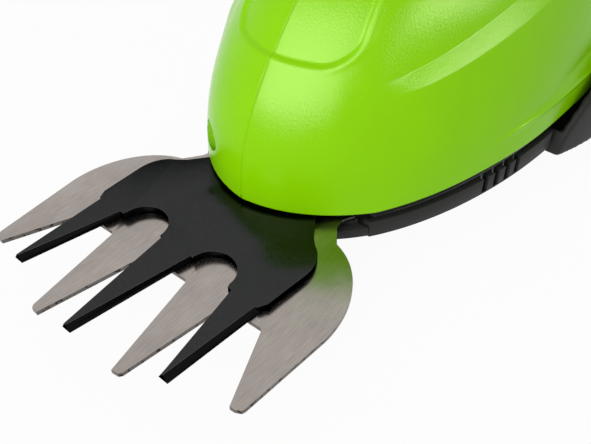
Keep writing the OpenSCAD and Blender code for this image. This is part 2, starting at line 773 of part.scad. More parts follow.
module blade_nut() color("#b4b6b8") translate([0, pivot_y, shoulder_top + washer_t]) difference() {
    cylinder(h = nut_t, r = bolt_r + 2.6, $fn = 6);
    translate([0, 0, -past]) cylinder(h = nut_t + 2*past, r = thread_r);
}

module blade_rivets() color("#b4b6b8") for (x = [-rivet_x, rivet_x]) translate([x, rivet_y, base_low])
    cylinder(h = blade_z + 0.05 - base_low, r = rivet_r);

// Blade cassette: base plate with a skid below, side walls, and a gap under an eave for each release arm
base_low = 0.8;
rim_out = 0.6;
arm_t = 2;
arm_gap = 3.8;
arm_front = pivot_y + 3.5;
arm_back = low_tip_y - 1.6;
arm_low_z = 0.4;
arm_low_rise = 0.049;
arm_high_z = blade_z - 0.6;
arm_high_rise = 0.06;
function arm_low(y) = arm_low_z + arm_low_rise*(y - rise_y);
function arm_high(y) = arm_high_z + arm_high_rise*(y - rise_y);
skid_in = 14;
cassette_wall = 2;
eave_t = 0.8;
eave_in = 2.2;
function rim_w(y, o) = head_w(y, -rim_out) - o;
function rim_points(y0, y1, o, n) = [for (i = [0:n]) let (y = y0 + (y1 - y0)*i/n) [rim_w(y, o), y]];
function rim_nose(y1, o, n) = [for (i = [0:n])
    let (y = nose_y - rim_out + (y1 - nose_y + rim_out)*(1 - cos(90*i/n))) [max(0, rim_w(y, o)), y]];
function both_sides(p) = concat(p, [for (i = [len(p) - 1:-1:0]) [-p[i][0], p[i][1]]]);
arm_inset = arm_t + arm_gap;
module eave() loft([for (i = [0:10])
    let (y = arm_front + cassette_wall + (arm_back - arm_front - cassette_wall)*i/10, z = arm_high(y) + gap,
         x0 = rim_w(y, arm_inset + cassette_wall/2), x1 = rim_w(y, eave_in))
    [[x0, y, z], [x1, y, z], [x1, y, z + eave_t], [x0, y, z + eave_t]]]);

module cassette_base() color(dark) difference() {
    union() {
        translate([0, 0, base_low]) linear_extrude(blade_z - lower_t - base_low) polygon(both_sides(concat(
            rim_nose(arm_front - gap, 0, 10), rim_points(arm_front - gap, arm_back, arm_inset, 10))));
        linear_extrude(base_low) polygon(both_sides(rim_points(nose_y + skid_in, arm_back, skid_in, 10)));
        eave();
        mirror([1, 0, 0]) eave();
        difference() {
            translate([0, 0, base_low]) linear_extrude(rim_z - gap - base_low) polygon(both_sides(
                rim_points(arm_front + cassette_wall, arm_back, arm_inset, 10)));
            linear_extrude(rim_z) polygon(both_sides(
                rim_points(arm_front, arm_back - cassette_wall, arm_inset + cassette_wall, 10)));
        }
    }
    translate([0, pivot_y, 0]) {
        translate([0, 0, -past]) cylinder(h = past + bolt_low + bolt_head_t, r = bolt_head_r + gap);
        cylinder(h = rim_z, r = bolt_r);
    }
    for (x = [-rivet_x, rivet_x]) translate([x, rivet_y, base_low]) cylinder(h = rim_z, r = rivet_r);
}

// Springy arm with ribs for the finger, drawn on the right side
rib_count = 4;
rib_pitch = 3.6;
rib_w = 1.3;
rib_deep = 1.1;
rib_y = arm_back - 28.2;
module release_arm() difference() {
    loft([for (i = [0:14])
        let (y = arm_front + (arm_back - arm_front)*i/14, x0 = rim_w(y, arm_t), x1 = rim_w(y, 0))
        [[x0, y, arm_low(y)], [x1, y, arm_low(y)], [x1, y, arm_high(y)], [x0, y, arm_high(y)]]]);
    for (k = [0:rib_count - 1]) let (y = rib_y + rib_pitch*k)
        translate([rim_w(y, rib_deep), y, 0]) cube([arm_t, rib_w, 2*rim_z]);
}

module release_arm_right() color(dark) release_arm();

module release_arm_left() color(dark) mirror([1, 0, 0]) release_arm();

// Trigger, drawn from the side as [y, z] about its pin
module trigger() color(black) translate([0, trigger_y, trigger_z]) difference() {
    union() {
        x_rod(-trigger_half_w, trigger_half_w, trigger_hub_r);
        side_extrude(2*trigger_half_w) polygon([[-3.5, 1], [1, 3.8], [37, -1.5], [trigger_len, -6], [34.5, -11],
                                                [24, -15.3], [12, -16], [3, -13], [-3.2, -7]]);
    }
    x_rod(-trigger_half_w - past, trigger_half_w + past, trigger_pin_r + run);
    translate([0, spring_y - trigger_y, spring_low - trigger_z - run]) cylinder(h = 2*trigger_hub_r, r = spring_r + wire_r + gap);
}

module trigger_pin() color(steel) translate([0, trigger_y, trigger_z]) x_rod(-trigger_pin_half, trigger_pin_half, trigger_pin_r);

module trigger_spring() color(steel) translate([0, spring_y, spring_low])
    coil(spring_high - spring_low, spring_r, wire_r, 6);

// Lock button: a pad through the top of the bar, with a flange below
module lock_button() color(black) translate([0, lock_y, lock_low]) {
    translate([-lock_half_w - 1, -lock_len/2 - 1, 0]) cube([2*lock_half_w + 2, lock_len + 2, lock_flange_t]);
    translate([-lock_half_w, -lock_len/2, 0]) cube([2*lock_half_w, lock_len, lock_top - lock_low]);
}

module lock_spring() color(steel) translate([0, lock_y, lock_seat])
    coil(lock_low - lock_seat, spring_r, wire_r, 4);

module switch_body() color(black) translate([-switch_half_w, switch_y, switch_z]) difference() {
    cube([2*switch_half_w, switch_len, switch_h]);
    translate([switch_half_w, plunger_y - switch_y, -past]) cylinder(h = past + plunger_len, r = plunger_r + run);
}

module switch_plunger() color(black) translate([0, plunger_y, switch_z - plunger_out])
    cylinder(h = plunger_len, r = plunger_r);

// Cells, holder and straps
module battery_cells() color("#3f6fb0") for (x = [-cell_x, cell_x])
    translate([x, holder_y + holder_wall + gap, cell_z]) rotate([-90, 0, 0]) cylinder(h = cell_len, r = cell_r);

module battery_holder() color(black) difference() {
    len_all = cell_len + 2*holder_wall + 2*gap;
    translate([-cell_x - cell_r - holder_wall, holder_y, wall])
        cube([2*(cell_x + cell_r + holder_wall), len_all, holder_h]);
    for (x = [-cell_x, cell_x]) translate([x, holder_y + holder_wall, cell_z]) rotate([-90, 0, 0])
        cylinder(h = cell_len + 2*gap, r = cell_r);
}

strap_t = 0.25;
strap_h = 6;
module cell_straps() color("#c7c8c4") {
    y0 = holder_y + holder_wall + gap - strap_t;
    y1 = holder_y + holder_wall + gap + cell_len;
    translate([-cell_x - strap_h/2, y1, cell_z]) cube([2*cell_x + strap_h, strap_t, strap_h]);
    for (x = [-cell_x, cell_x]) translate([x - strap_h/2, y0, cell_z]) cube([strap_h, strap_t, strap_h]);
}

module control_board() color("#2f6b3c") translate([0, board_y, board_z]) {
    translate([-board_w/2, 0, 0]) cube([board_w, board_len, board_t]);
    translate([-10, 12, board_t]) cube([8, 8, 1.5]);
    translate([6, 22, board_t]) cylinder(h = 8, r = 4);
    translate([-19, 14, board_t]) cube([6, 5, 2]);
}

// Charge socket and light in the tail
module charge_jack() color(black) translate([0, low_back_y - jack_len, jack_z]) rotate([-90, 0, 0]) difference() {
    cylinder(h = jack_len - jack_deep, r = jack_r);
    difference() {
        translate([0, 0, jack_floor]) cylinder(h = jack_len, r = jack_bore);
        cylinder(h = jack_len - jack_floor, r = jack_pin);
    }
}

module charge_light() color("#d9f2d0") translate([0, low_back_y - light_len, light_z]) rotate([-90, 0, 0])
    cylinder(h = light_len - 0.3, r = light_r);

// Inner leads
lead_r = 0.9;
motor_top = motor_z + motor_len + end_cap_t + tag_h;
board_top = board_z + board_t + gap;
motor_route = [[motor_screw_x, motor_y, motor_top + 1], [motor_screw_x, motor_y + 2, motor_top + 6],
               [motor_screw_x + 2, motor_y + 12, motor_top + 4], [12, plate_back + 5, motor_z + 24],
               [12, plate_back + 7, motor_z + 4], [12, board_y + 7, board_top + lead_r]];
battery_route = [[cell_x, holder_y - lead_r - gap, cell_z + 1], [cell_x, holder_y - 2, cell_z - 3],
                 [cell_x, holder_y - 5, board_top + lead_r], [cell_x - 1, board_y + board_len + 1, board_top + lead_r],
                 [cell_x - 1, board_y + board_len - 4, board_top + lead_r]];
switch_top = switch_z + switch_h + lead_r + 0.1;
switch_route = [[1.8, switch_y + 8, switch_top], [3, switch_y + 1, switch_top + 0.4], [8, spring_y - 3, switch_top + 0.4],
                [10, lock_y + 4, switch_top - 1.5], [10, lock_y - 8, switch_top - 3], [9, root_y + 8, switch_top - 5],
                [9, root_y - 3, switch_top - 10], [8, root_y - 8, loop_z + 16], [8, root_y - 9, deck_z],
                [12, board_y + board_len - 10, board_top + lead_r]];
module lead_pair(route) for (side = [0, 1]) mirror([side, 0, 0]) tube(smooth(route, 4), lead_r, 8);

module motor_leads() color("#b3261e") lead_pair(motor_route);

module battery_leads() color("#222222") lead_pair(battery_route);

module switch_leads() color("#3d5fa8") lead_pair(switch_route);

// Screws
module x_screw(s) translate([0, s[0], s[1]]) {
    x_rod(-seat_x, screw_end - 0.5, screw_r);
    x_rod(-seat_x - 2.2, -seat_x, well_r - 0.3);
}

module up_screw(x, y, z0, length, r, head_r, head_t) translate([x, y, z0]) {
    cylinder(h = length, r = r);
    translate([0, 0, -head_t]) cylinder(h = head_t, r = head_r);
}

module housing_screws() color("#6d6f72") for (s = concat(head_screws, body_screws)) x_screw(s);

module plate_screws() color("#6d6f72") for (p = plate_posts, side = [-1, 1])
    up_screw(side*p[0], p[1], plate_z, plate_t + plate_bite, screw_r, screw_r + 1.3, 1.8);

module gearbox_screws() color("#6d6f72") for (e = ears)
    up_screw(e[0], e[1], cover_z, motor_z - cover_z - 0.5, ear_screw_r, ear_screw_r + 1, 1.4);

module motor_screws() color("#6d6f72") for (x = [-motor_screw_x, motor_screw_x]) translate([x, motor_y, plate_z]) {
    cylinder(h = plate_t + can_wall + 1, r = ear_screw_r);
    cylinder(h = motor_head_t, r = motor_head_r);
}

head_left();
head_right();
body_left();
body_right();
grip_left();
grip_right();
gear_plate();
gear_cover();
gear_spindle();
motor_can();
motor_end_cap();
motor_magnets();
motor_bushes();
battery_cells();
battery_holder();
cell_straps();
control_board();
switch_body();
charge_jack();
charge_light();
motor_leads();
battery_leads();
switch_leads();
trigger_pin();
housing_screws();
plate_screws();
gearbox_screws();
motor_screws();
trigger_spring();
lock_spring();
armature();
pinion();
drive_gear();
crank_pin();
cassette_base();
lower_blade();
blade_bolt();
blade_nut();
wave_washer();
blade_rivets();
upper_blade();
release_arm_left();
release_arm_right();
trigger();
lock_button();
switch_plunger();
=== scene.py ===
"""Looks of the cordless grass shears: smooth mouldings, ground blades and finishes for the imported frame."""
import json
import math

import bmesh
import bpy
import numpy as np
from mathutils import Matrix, Vector


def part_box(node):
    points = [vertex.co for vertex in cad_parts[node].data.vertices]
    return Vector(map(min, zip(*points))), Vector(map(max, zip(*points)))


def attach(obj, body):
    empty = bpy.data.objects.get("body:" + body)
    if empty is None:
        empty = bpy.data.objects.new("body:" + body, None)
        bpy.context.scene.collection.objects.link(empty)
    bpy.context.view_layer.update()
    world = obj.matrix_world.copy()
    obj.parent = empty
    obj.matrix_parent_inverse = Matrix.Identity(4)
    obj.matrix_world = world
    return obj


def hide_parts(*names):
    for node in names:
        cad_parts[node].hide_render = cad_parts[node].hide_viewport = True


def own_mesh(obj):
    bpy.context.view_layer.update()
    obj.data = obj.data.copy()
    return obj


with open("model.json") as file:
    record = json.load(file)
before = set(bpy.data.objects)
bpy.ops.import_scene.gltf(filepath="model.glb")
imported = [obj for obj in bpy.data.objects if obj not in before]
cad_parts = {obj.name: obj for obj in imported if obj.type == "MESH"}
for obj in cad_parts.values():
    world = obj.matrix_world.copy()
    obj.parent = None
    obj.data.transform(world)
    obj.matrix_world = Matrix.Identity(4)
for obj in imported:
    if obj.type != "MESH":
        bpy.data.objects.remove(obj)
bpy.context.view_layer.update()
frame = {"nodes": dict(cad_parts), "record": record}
MM = 0.001

# Camera at the photograph's place, in millimetres
CAMERA_AT = (108.8, -265.1, 145.7)
CAMERA_TO = (14.0, -149.0, 6.0)
FOCAL_PX = 800.4
IMAGE_W = 591
SENSOR_MM = 36.0
CLIP_MM = 5


def make_camera():
    data = bpy.data.cameras.new("camera")
    data.sensor_width = SENSOR_MM
    data.lens = FOCAL_PX*SENSOR_MM/IMAGE_W
    data.clip_start = CLIP_MM*MM
    camera = bpy.data.objects.new("camera", data)
    bpy.context.scene.collection.objects.link(camera)
    at = Vector(CAMERA_AT)*MM
    camera.location = at
    camera.rotation_euler = (Vector(CAMERA_TO)*MM - at).to_track_quat("-Z", "Y").to_euler()
    bpy.context.scene.camera = camera


make_camera()


# Places read from the frame, in millimetres
def low(node):
    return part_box(node)[0]/MM


def high(node):
    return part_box(node)[1]/MM


HEAD_HALF_W = high("head_right").x
PIVOT_Y = (low("blade_bolt").y + high("blade_bolt").y)/2

# The floor lies just below the cassette when it has dropped, and cutters reach well past the part
FLOOR_Z = -12.5
FAR = 300

# Head: elliptic plan in front of its widest place, blunt behind, elliptic crest line
HEAD_Y = PIVOT_Y + 80
HEAD_FRONT = 93
HEAD_REAR = 34
BACK_N = 2.6
FRONT_FIRST_DEG = 0.2
BACK_LAST_DEG = 89.95
CREST_H = 95
CREST_Y = PIVOT_Y + 155
NOSE_Y = HEAD_Y - HEAD_FRONT
WALL = 2.5

# Rear body: boat plan with a flat sole and a rounded deck
LOW_HALF_W = 57.5
LOW_Y = PIVOT_Y + 98
LOW_FRONT = 72
LOW_REAR = 138
LOW_N = 1.8
LOW_SECTION_N = 4
LOW_TIP_Y = PIVOT_Y + 66
LOW_BACK_Y = LOW_Y + LOW_REAR
DECK_Z = 34
SWEEP_LEN = 80
BODY_GAP = 2.2

# Handle loop about its middle
LOOP_Y = PIVOT_Y + 162
LOOP_Z = 54
LOOP_HALF_LEN = 46
LOOP_HALF_H = 20
HOLE_N = 3
OUTER_N = 2.6
OUTER_FRONT = 120
BAR_T = 31.5
POST_T = 28
BAR_HALF_W = 16.5
BAR_FLARE = 8
BAR_NARROW = 95
BAR_FLARE_DEG = 140
BAR_N = 2.5
LOOP_FROM = -45
LOOP_TO = 168
LOOP_STEPS = 26
ROOT_Y = HEAD_Y + HEAD_REAR - 16

# Blades
BLADE_Z = high("lower_blade").z
LOWER_T = BLADE_Z - low("lower_blade").z
RIM_Z = BLADE_Z + 4.5
UPPER_Z = low("upper_blade").z
UPPER_T = high("upper_blade").z - UPPER_Z
TIP_Y = PIVOT_Y - 60
BLADE_TURN = math.radians(2.7)
HALF_SPAN = 40


def smooth_step(a, b, v):
    t = np.clip((v - a)/(b - a), 0, 1)
    return t*t*(3 - 2*t)


# Meshes

def new_object(name, verts, faces):
    mesh = bpy.data.meshes.new(name)
    mesh.from_pydata([tuple(v) for v in np.asarray(verts, float)*MM], [], [tuple(f) for f in faces])
    mesh.validate()
    obj = bpy.data.objects.new(name, mesh)
    bpy.context.scene.collection.objects.link(obj)
    return obj


def shade(obj, angle):
    """Smooth shading that keeps edges sharper than an angle in degrees."""
    obj.data.polygons.foreach_set("use_smooth", [True]*len(obj.data.polygons))
    obj.data.set_sharp_from_angle(angle=math.radians(angle))


def outward(obj):
    """Turns all faces outwards."""
    bm = bmesh.new()
    bm.from_mesh(obj.data)
    bmesh.ops.recalc_face_normals(bm, faces=bm.faces)
    bm.to_mesh(obj.data)
    bm.free()
    return obj


def apply_modifiers(obj):
    bpy.context.view_layer.update()
    graph = bpy.context.evaluated_depsgraph_get()
    mesh = bpy.data.meshes.new_from_object(obj.evaluated_get(graph))
    old = obj.data
    obj.modifiers.clear()
    obj.data = mesh
    bpy.data.meshes.remove(old)
    mesh.name = obj.name
    return obj


def boolean(obj, tool, operation):
    """Joins a tool to an object, cuts it away or keeps what they share, and removes the tool."""
    step = obj.modifiers.new("step", "BOOLEAN")
    step.operation = operation
    step.solver = "EXACT"
    step.object = tool
    apply_modifiers(obj)
    bpy.data.objects.remove(tool)
    return obj


def bevel(obj, width, segments=2, angle=35):
    step = obj.modifiers.new("bevel", "BEVEL")
    step.width = width*MM
    step.segments = segments
    step.limit_method = "ANGLE"
    step.angle_limit = math.radians(angle)
    step.use_clamp_overlap = True
    step.harden_normals = False
    apply_modifiers(obj)
    shade(obj, 40)
    return obj


def grid_faces(n, m, start=0, flip=False):
    quads = []
    for i in range(n - 1):
        for j in range(m - 1):
            a = start + i*m + j
            q = (a, a + 1, a + m + 1, a + m)
            quads.append(q[::-1] if flip else q)
    return quads


def shell(name, outer, inner):
    """Closed skin between two grids of points that have the same layout."""
    n, m = outer.shape[:2]
    size = n*m
    faces = grid_faces(n, m) + grid_faces(n, m, size, True)
    border = [i*m for i in range(n)] + [(n - 1)*m + j for j in range(1, m)]
    border += [i*m + m - 1 for i in range(n - 2, -1, -1)] + [j for j in range(m - 2, 0, -1)]
    count = len(border)
    for k in range(count):
        a = border[k]
        b = border[(k + 1) % count]
        faces.append((a, b, b + size, a + size))
    verts = np.concatenate([outer.reshape(-1, 3), inner.reshape(-1, 3)])
    return outward(new_object(name, verts, faces))


def loft(name, rings):
    """Closed solid through rings of points."""
    n, m = rings.shape[:2]
    faces = []
    for i in range(n - 1):
        for j in range(m):
            k = (j + 1) % m
            faces.append((i*m + j, i*m + k, (i + 1)*m + k, (i + 1)*m + j))
    faces.append(tuple(range(m - 1, -1, -1)))
    faces.append(tuple((n - 1)*m + j for j in range(m)))
    return outward(new_object(name, rings.reshape(-1, 3), faces))


def prism(name, outline, z0, z1):
    """Plate with an outline in x and y."""
    flat = np.asarray(outline, float)
    rings = np.array([np.column_stack([flat, np.full(len(flat), z)]) for z in (z0, z1)])
    return loft(name, rings)


def side_prism(name, outline, x0, x1):
    """Plate with an outline in y and z."""
    flat = np.asarray(outline, float)
    rings = np.array([np.column_stack([np.full(len(flat), x), flat]) for x in (x0, x1)])
    return loft(name, rings)


def block(name, corner, size):
    x, y, z = corner
    outline = [(x, y), (x + size[0], y), (x + size[0], y + size[1]), (x, y + size[1])]
    return prism(name, outline, z, z + size[2])


def rod(name, centre, axis, length, radius, sides=48):
    """Cylinder that starts at a point and runs along an axis, x, y or z."""
    turn = np.radians(np.linspace(0, 360, sides, endpoint=False))
    ring = np.column_stack([radius*np.cos(turn), radius*np.sin(turn)])
    rings = []
    for step in (0, length):
        columns = [ring[:, 0], ring[:, 1]]
        columns.insert("xyz".index(axis), np.full(sides, step))
        rings.append(np.column_stack(columns) + np.asarray(centre, float))
    return loft(name, np.array(rings))


def mirrored(obj, name):
    """Copy on the other side of the seam."""
    copy = bpy.data.objects.new(name, obj.data.copy())
    bpy.context.scene.collection.objects.link(copy)
    return flipped(copy)


def flipped(obj):
    """The same piece, moved to the other side of the seam."""
    obj.data.transform(Matrix.Scale(-1, 4, (1, 0, 0)))
    return outward(obj)


# Materials

WHITE = (1, 1, 1)

# Sizes of broad clouds in millimetres, scale of scratches, and the parts of a noise that give dark and light
BROAD_MM = 14
CLOUD_MM = 11
SCRATCH_SCALE = 18
SPOT_NOISE = (0.35, 0.65)
SCRATCH_NOISE = (0.36, 0.64)
CLOUD_SHADES = (0.9, 1.07)

# How far faces look up where walls end, on rounded edges and on flat tops, for painted shade and highlights
# there; how dark the wear marks there are; and painted shade in hollows
WALL_TO = 0.62
ROUND_FROM = 0.74
ROUND_TO = 0.9
FLAT_FROM = 0.97
MARK_DARK = 0.2
MARK_NOISE = (0.37, 0.47)
HOLLOW_SHADE_DARK = 0.18
HOLLOW_SHADE_FULL = 0.5


def material(name, color, roughness, metallic=0.0, specular=0.5, sheen=WHITE):
    """Plain shader to build on; sheen colours the reflections of plastic and the glancing ones of metal."""
    mat = bpy.data.materials.new(name)
    mat.use_nodes = True
    bsdf = mat.node_tree.nodes["Principled BSDF"]
    bsdf.inputs["Base Color"].default_value = (*color, 1)
    bsdf.inputs["Roughness"].default_value = roughness
    bsdf.inputs["Metallic"].default_value = metallic
    bsdf.inputs["Specular IOR Level"].default_value = specular
    bsdf.inputs["Specular Tint"].default_value = (*sheen, 1)
    return mat


class Nodes:
    """Short way to add and link shader nodes."""

    def __init__(self, mat):
        self.tree = mat.node_tree
        self.bsdf = self.tree.nodes["Principled BSDF"]
        self.coord = self.tree.nodes.new("ShaderNodeTexCoord").outputs["Object"]

    def link(self, a, b):
        self.tree.links.new(a, b)

    def stretched(self, scale):
        node = self.tree.nodes.new("ShaderNodeMapping")
        node.inputs["Scale"].default_value = scale
        self.link(self.coord, node.inputs["Vector"])
        return node.outputs["Vector"]

    def noise(self, scale, detail=2.0, vector=None):
        node = self.tree.nodes.new("ShaderNodeTexNoise")
        node.inputs["Scale"].default_value = scale
        node.inputs["Detail"].default_value = detail
        self.link(vector or self.coord, node.inputs["Vector"])
        return node.outputs["Fac"]

    def ramp(self, value, stops):
        node = self.tree.nodes.new("ShaderNodeValToRGB")
        items = node.color_ramp.elements
        while len(items) < len(stops):
            items.new(0.5)
        for item, (at, color) in zip(items, stops):
            item.position = at
            item.color = (*color, 1)
        self.link(value, node.inputs["Fac"])
        return node.outputs["Color"]

    def shades(self, value, span, color, spread):
        """A colour, darker and lighter by a share between the two ends of a span of values."""
        ends = [tuple(c*k for c in color) for k in (1 - spread, 1 + spread)]
        return self.ramp(value, list(zip(span, ends)))

    def grey(self, value, lo, hi, start=0.3, end=0.7):
        node = self.tree.nodes.new("ShaderNodeMapRange")
        node.inputs["From Min"].default_value = start
        node.inputs["From Max"].default_value = end
        node.inputs["To Min"].default_value = lo
        node.inputs["To Max"].default_value = hi
        self.link(value, node.inputs["Value"])
        return node.outputs["Result"]

    def bump(self, height, strength, distance):
        node = self.tree.nodes.new("ShaderNodeBump")
        node.inputs["Strength"].default_value = strength
        node.inputs["Distance"].default_value = distance*MM
        self.link(height, node.inputs["Height"])
        self.link(node.outputs["Normal"], self.bsdf.inputs["Normal"])

    def times(self, color, factor):
        node = self.tree.nodes.new("ShaderNodeVectorMath")
        node.operation = "MULTIPLY"
        self.link(color, node.inputs[0])
        self.link(factor, node.inputs[1])
        return node.outputs["Vector"]

    def upward(self):
        """How far a face looks up: 1 on a flat top, 0 on an upright wall."""
        split = self.tree.nodes.new("ShaderNodeSeparateXYZ")
        self.link(self.tree.nodes.new("ShaderNodeTexCoord").outputs["Normal"], split.inputs["Vector"])
        return split.outputs["Z"]

    def edges(self, color, wall, glint):
        """The colour of flat faces, times one factor on upright faces and another on the rounded edges:
        painted shade on the walls, and on the edges a painted highlight above 1 and painted shade below it.
        """
        stops = [(WALL_TO, wall), (ROUND_FROM, glint), (ROUND_TO, glint), (FLAT_FROM, 1.0)]
        return self.times(color, self.ramp(self.upward(), [(at, (share,)*3) for at, share in stops]))

    def marks(self, color, size):
        """The colour, with dark marks of a size in millimetres along the upright faces and rounded edges."""
        share = self.grey(self.upward(), 0.0, 1.0, ROUND_TO, FLAT_FROM)
        spots = self.grey(self.noise(1/(size*MM), 3), MARK_DARK, 1.0, *MARK_NOISE)
        self.link(spots, share.node.inputs["To Min"])
        return self.times(color, share)

    def hollow_shade(self, color):
        """The colour with painted shade, darker where the mesh marks hollows and creases."""
        node = self.tree.nodes.new("ShaderNodeAttribute")
        node.attribute_name = "cavity"
        return self.times(color, self.grey(node.outputs["Fac"], 1.0, HOLLOW_SHADE_DARK, 0.0, HOLLOW_SHADE_FULL))

    def color(self, value):
        self.link(value, self.bsdf.inputs["Base Color"])

    def roughness(self, value):
        self.link(value, self.bsdf.inputs["Roughness"])


def moulded(name, color, roughness, grain, strength, spread, specular=0.25, sheen=WHITE):
    """Moulded plastic with a fine etched grain; grain is its size in millimetres."""
    mat = material(name, color, roughness, specular=specular, sheen=sheen)
    n = Nodes(mat)
    fine = n.noise(1/(grain*MM), 3)
    broad = n.noise(1/(BROAD_MM*MM), 3)
    # Painted shade in hollows and creases, read from the mesh
    n.color(n.hollow_shade(n.shades(broad, SPOT_NOISE, color, spread)))
    n.roughness(n.grey(broad, roughness - 0.03, roughness + 0.04))
    n.bump(fine, strength, 0.1)
    return mat


def brushed(name, color, roughness, along, spread, wall=1.0, glint=1.0, marks=0.0):
    """Metal with fine scratches along one direction, painted shade and highlights on walls and edges, and
    wear marks, as the nodes give them.
    """
    mat = material(name, color, roughness, metallic=1.0)
    n = Nodes(mat)
    lines = n.noise(SCRATCH_SCALE, 6, n.stretched(along))
    cloud = n.noise(1/(CLOUD_MM*MM), 3)
    scratched = n.shades(lines, SCRATCH_NOISE, color, spread)
    # Painted shade on upright walls and painted light on rounded edges, by the wall and glint factors
    painted_edges = n.edges(n.times(scratched, n.grey(cloud, *CLOUD_SHADES)), wall, glint)
    n.color(n.marks(painted_edges, marks) if marks else painted_edges)
    n.roughness(n.grey(cloud, roughness - 0.05, roughness + 0.07))
    n.bump(lines, 0.12, 0.03)
    return mat


def speckled(name, color, roughness, metallic, size, spread, wall=1.0, glint=1.0, sheen=WHITE):
    """Cast, sintered or coated surface with specks of a size in millimetres, and painted shade and highlights
    on walls and edges as the nodes give.
    """
    mat = material(name, color, roughness, metallic=metallic, sheen=sheen)
    n = Nodes(mat)
    specks = n.noise(1/(size*MM), 4)
    # Painted shade on upright walls and painted light on rounded edges, by the wall and glint factors
    n.color(n.edges(n.shades(specks, SPOT_NOISE, color, spread), wall, glint))
    n.roughness(n.grey(specks, roughness - 0.06, roughness + 0.06))
    n.bump(specks, 0.15, 0.04)
    return mat


def lens_material():
    mat = material("light_lens", (0.75, 0.9, 0.7), 0.12)
    bsdf = mat.node_tree.nodes["Principled BSDF"]
    bsdf.inputs["Transmission Weight"].default_value = 0.6
    n = Nodes(mat)
    n.roughness(n.grey(n.noise(1/(1.5*MM)), 0.08, 0.2))
    return mat


GREEN = (0.285, 0.72, 0.001)
GREEN_SHEEN = (1.0, 1.0, 0.7)
DARK = (0.0185, 0.0185, 0.0178)
BLACK = (0.011, 0.011, 0.0115)
COATING = (0.036, 0.0365, 0.037)
COATING_SHEEN = (0.1, 0.1, 0.1)
FINISH = {
    "green_plastic": moulded("green_plastic", GREEN, roughness=0.17, grain=0.5, strength=0.6, spread=0.015,
                             specular=0.13, sheen=GREEN_SHEEN),
    "dark_plastic": moulded("dark_plastic", DARK, 0.5, grain=0.3, strength=0.25, spread=0.06, specular=0.2),
    "black_plastic": moulded("black_plastic", BLACK, 0.42, grain=0.4, strength=0.2, spread=0.08),
    "soft_grip": moulded("soft_grip", (0.016, 0.016, 0.017), 0.72, grain=0.25, strength=0.35, spread=0.08),
    # blade_steel gets painted shade on its walls and edges; blade_black painted shade on its walls and a
    # painted highlight on its edges
    "blade_steel": brushed("blade_steel", (0.36, 0.323, 0.297), 0.22, along=(600, 12, 600), spread=0.14,
                           wall=0.4, glint=0.65, marks=1.3),
    "blade_black": speckled("blade_black", COATING, 0.2, metallic=1.0, size=0.6, spread=0.08,
                            wall=0.2, glint=4, sheen=COATING_SHEEN),
    "plain_steel": brushed("plain_steel", (0.5, 0.5, 0.49), 0.3, along=(60, 60, 6), spread=0.1),
    "plated_steel": speckled("plated_steel", (0.55, 0.55, 0.53), 0.34, metallic=1.0, size=3.0, spread=0.06),
    "screw_steel": speckled("screw_steel", (0.16, 0.165, 0.17), 0.36, metallic=1.0, size=0.8, spread=0.1),
    "cast_alloy": speckled("cast_alloy", (0.5, 0.51, 0.53), 0.5, metallic=1.0, size=0.8, spread=0.08),
    "magnet": speckled("magnet", (0.09, 0.095, 0.1), 0.6, metallic=0.3, size=0.5, spread=0.15),
    "bronze": speckled("bronze", (0.5, 0.33, 0.13), 0.38, metallic=1.0, size=0.7, spread=0.12),
    "copper_winding": brushed("copper_winding", (0.5, 0.2, 0.07), 0.32, along=(60, 60, 6), spread=0.2),
    "cell_sleeve": moulded("cell_sleeve", (0.05, 0.16, 0.43), 0.3, grain=0.8, strength=0.05, spread=0.05),
    "circuit_board": speckled("circuit_board", (0.02, 0.13, 0.045), 0.35, metallic=0.0, size=1.2,
                              spread=0.25),
    "lead_cover": moulded("lead_cover", (0.03, 0.03, 0.034), 0.5, grain=0.5, strength=0.1, spread=0.1),
    "light_lens": lens_material(),
}


SLOTS = {part["node"]: part["material_slot"] for part in frame["record"]["subparts"]}


def dress(obj, body, slot, nodes):
    """Gives a piece its finish and body, and lets it stand for the CAD nodes."""
    obj.data.materials.clear()
    obj.data.materials.append(FINISH[slot])
    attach(obj, body)
    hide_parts(*nodes)


# Head halves: places along the flank are in degrees from the rim, other sizes in millimetres

PANEL_Z = 45.3
PANEL_HALF_W = 18.8
PANEL_TAPER = 0.16
PANEL_TAPER_Y = PIVOT_Y + 10
PANEL_SLOPE_X = 1.15
PANEL_SLOPE_Z = 1.25
PANEL_END_Y = PIVOT_Y + 66
PANEL_CORNER = 8
PANEL_DEPTH = 0.75
PANEL_STEP = 1.5
LIP_H = 0.12
LIP_OUT = 0.9
RIDGE_H = 0.9
RIDGE_W = 8
SWOOSH_S = 29.2
SWOOSH_W = 5
SWOOSH_HIGH = 0.6
SWOOSH_LOW = 0.55
SWOOSH_HOOK = 5
SWOOSH_HOOK_AT = 13
SWOOSH_HOOK_LEN = 11
SWOOSH_FADE_LOW = 12
SWOOSH_FADE_HIGH = 10
SWOOSH_START = (8, 20)
SWOOSH_END = (78, 100)
SKIRT_S = 6.6
SKIRT_TILT = 0.27
SKIRT_FROM = 34
SKIRT_DROP = 0.02
SKIRT_SPREAD = 0.095
SKIRT_LEAST = 0.01
SKIRT_END = (88, 106)
BEAD_H = 0.28
BEAD_W = 0.45
BEAD_RUN = 16
BULGE_H = 1.0
BULGE_FADE = (10, 40)
BULGE_REAR = (50, 80)
BULGE_LOSS = 0.7
SEAM_DEPTH = 0.06
SEAM_W = 0.24
# Painted shade in the seam groove, at the edge of the nose screw well and inside it
SEAM_SHADE = 0.08
WELL_EDGE_SHADE = 0.15
WELL_SHADE = 0.1
RIM_R = 0.6
RISE_Y = PIVOT_Y + 5
RIM_DIP = 2.8
RIM_HIGH = 2
NOSE_RISE = 0.095
REAR_RISE = 0.075


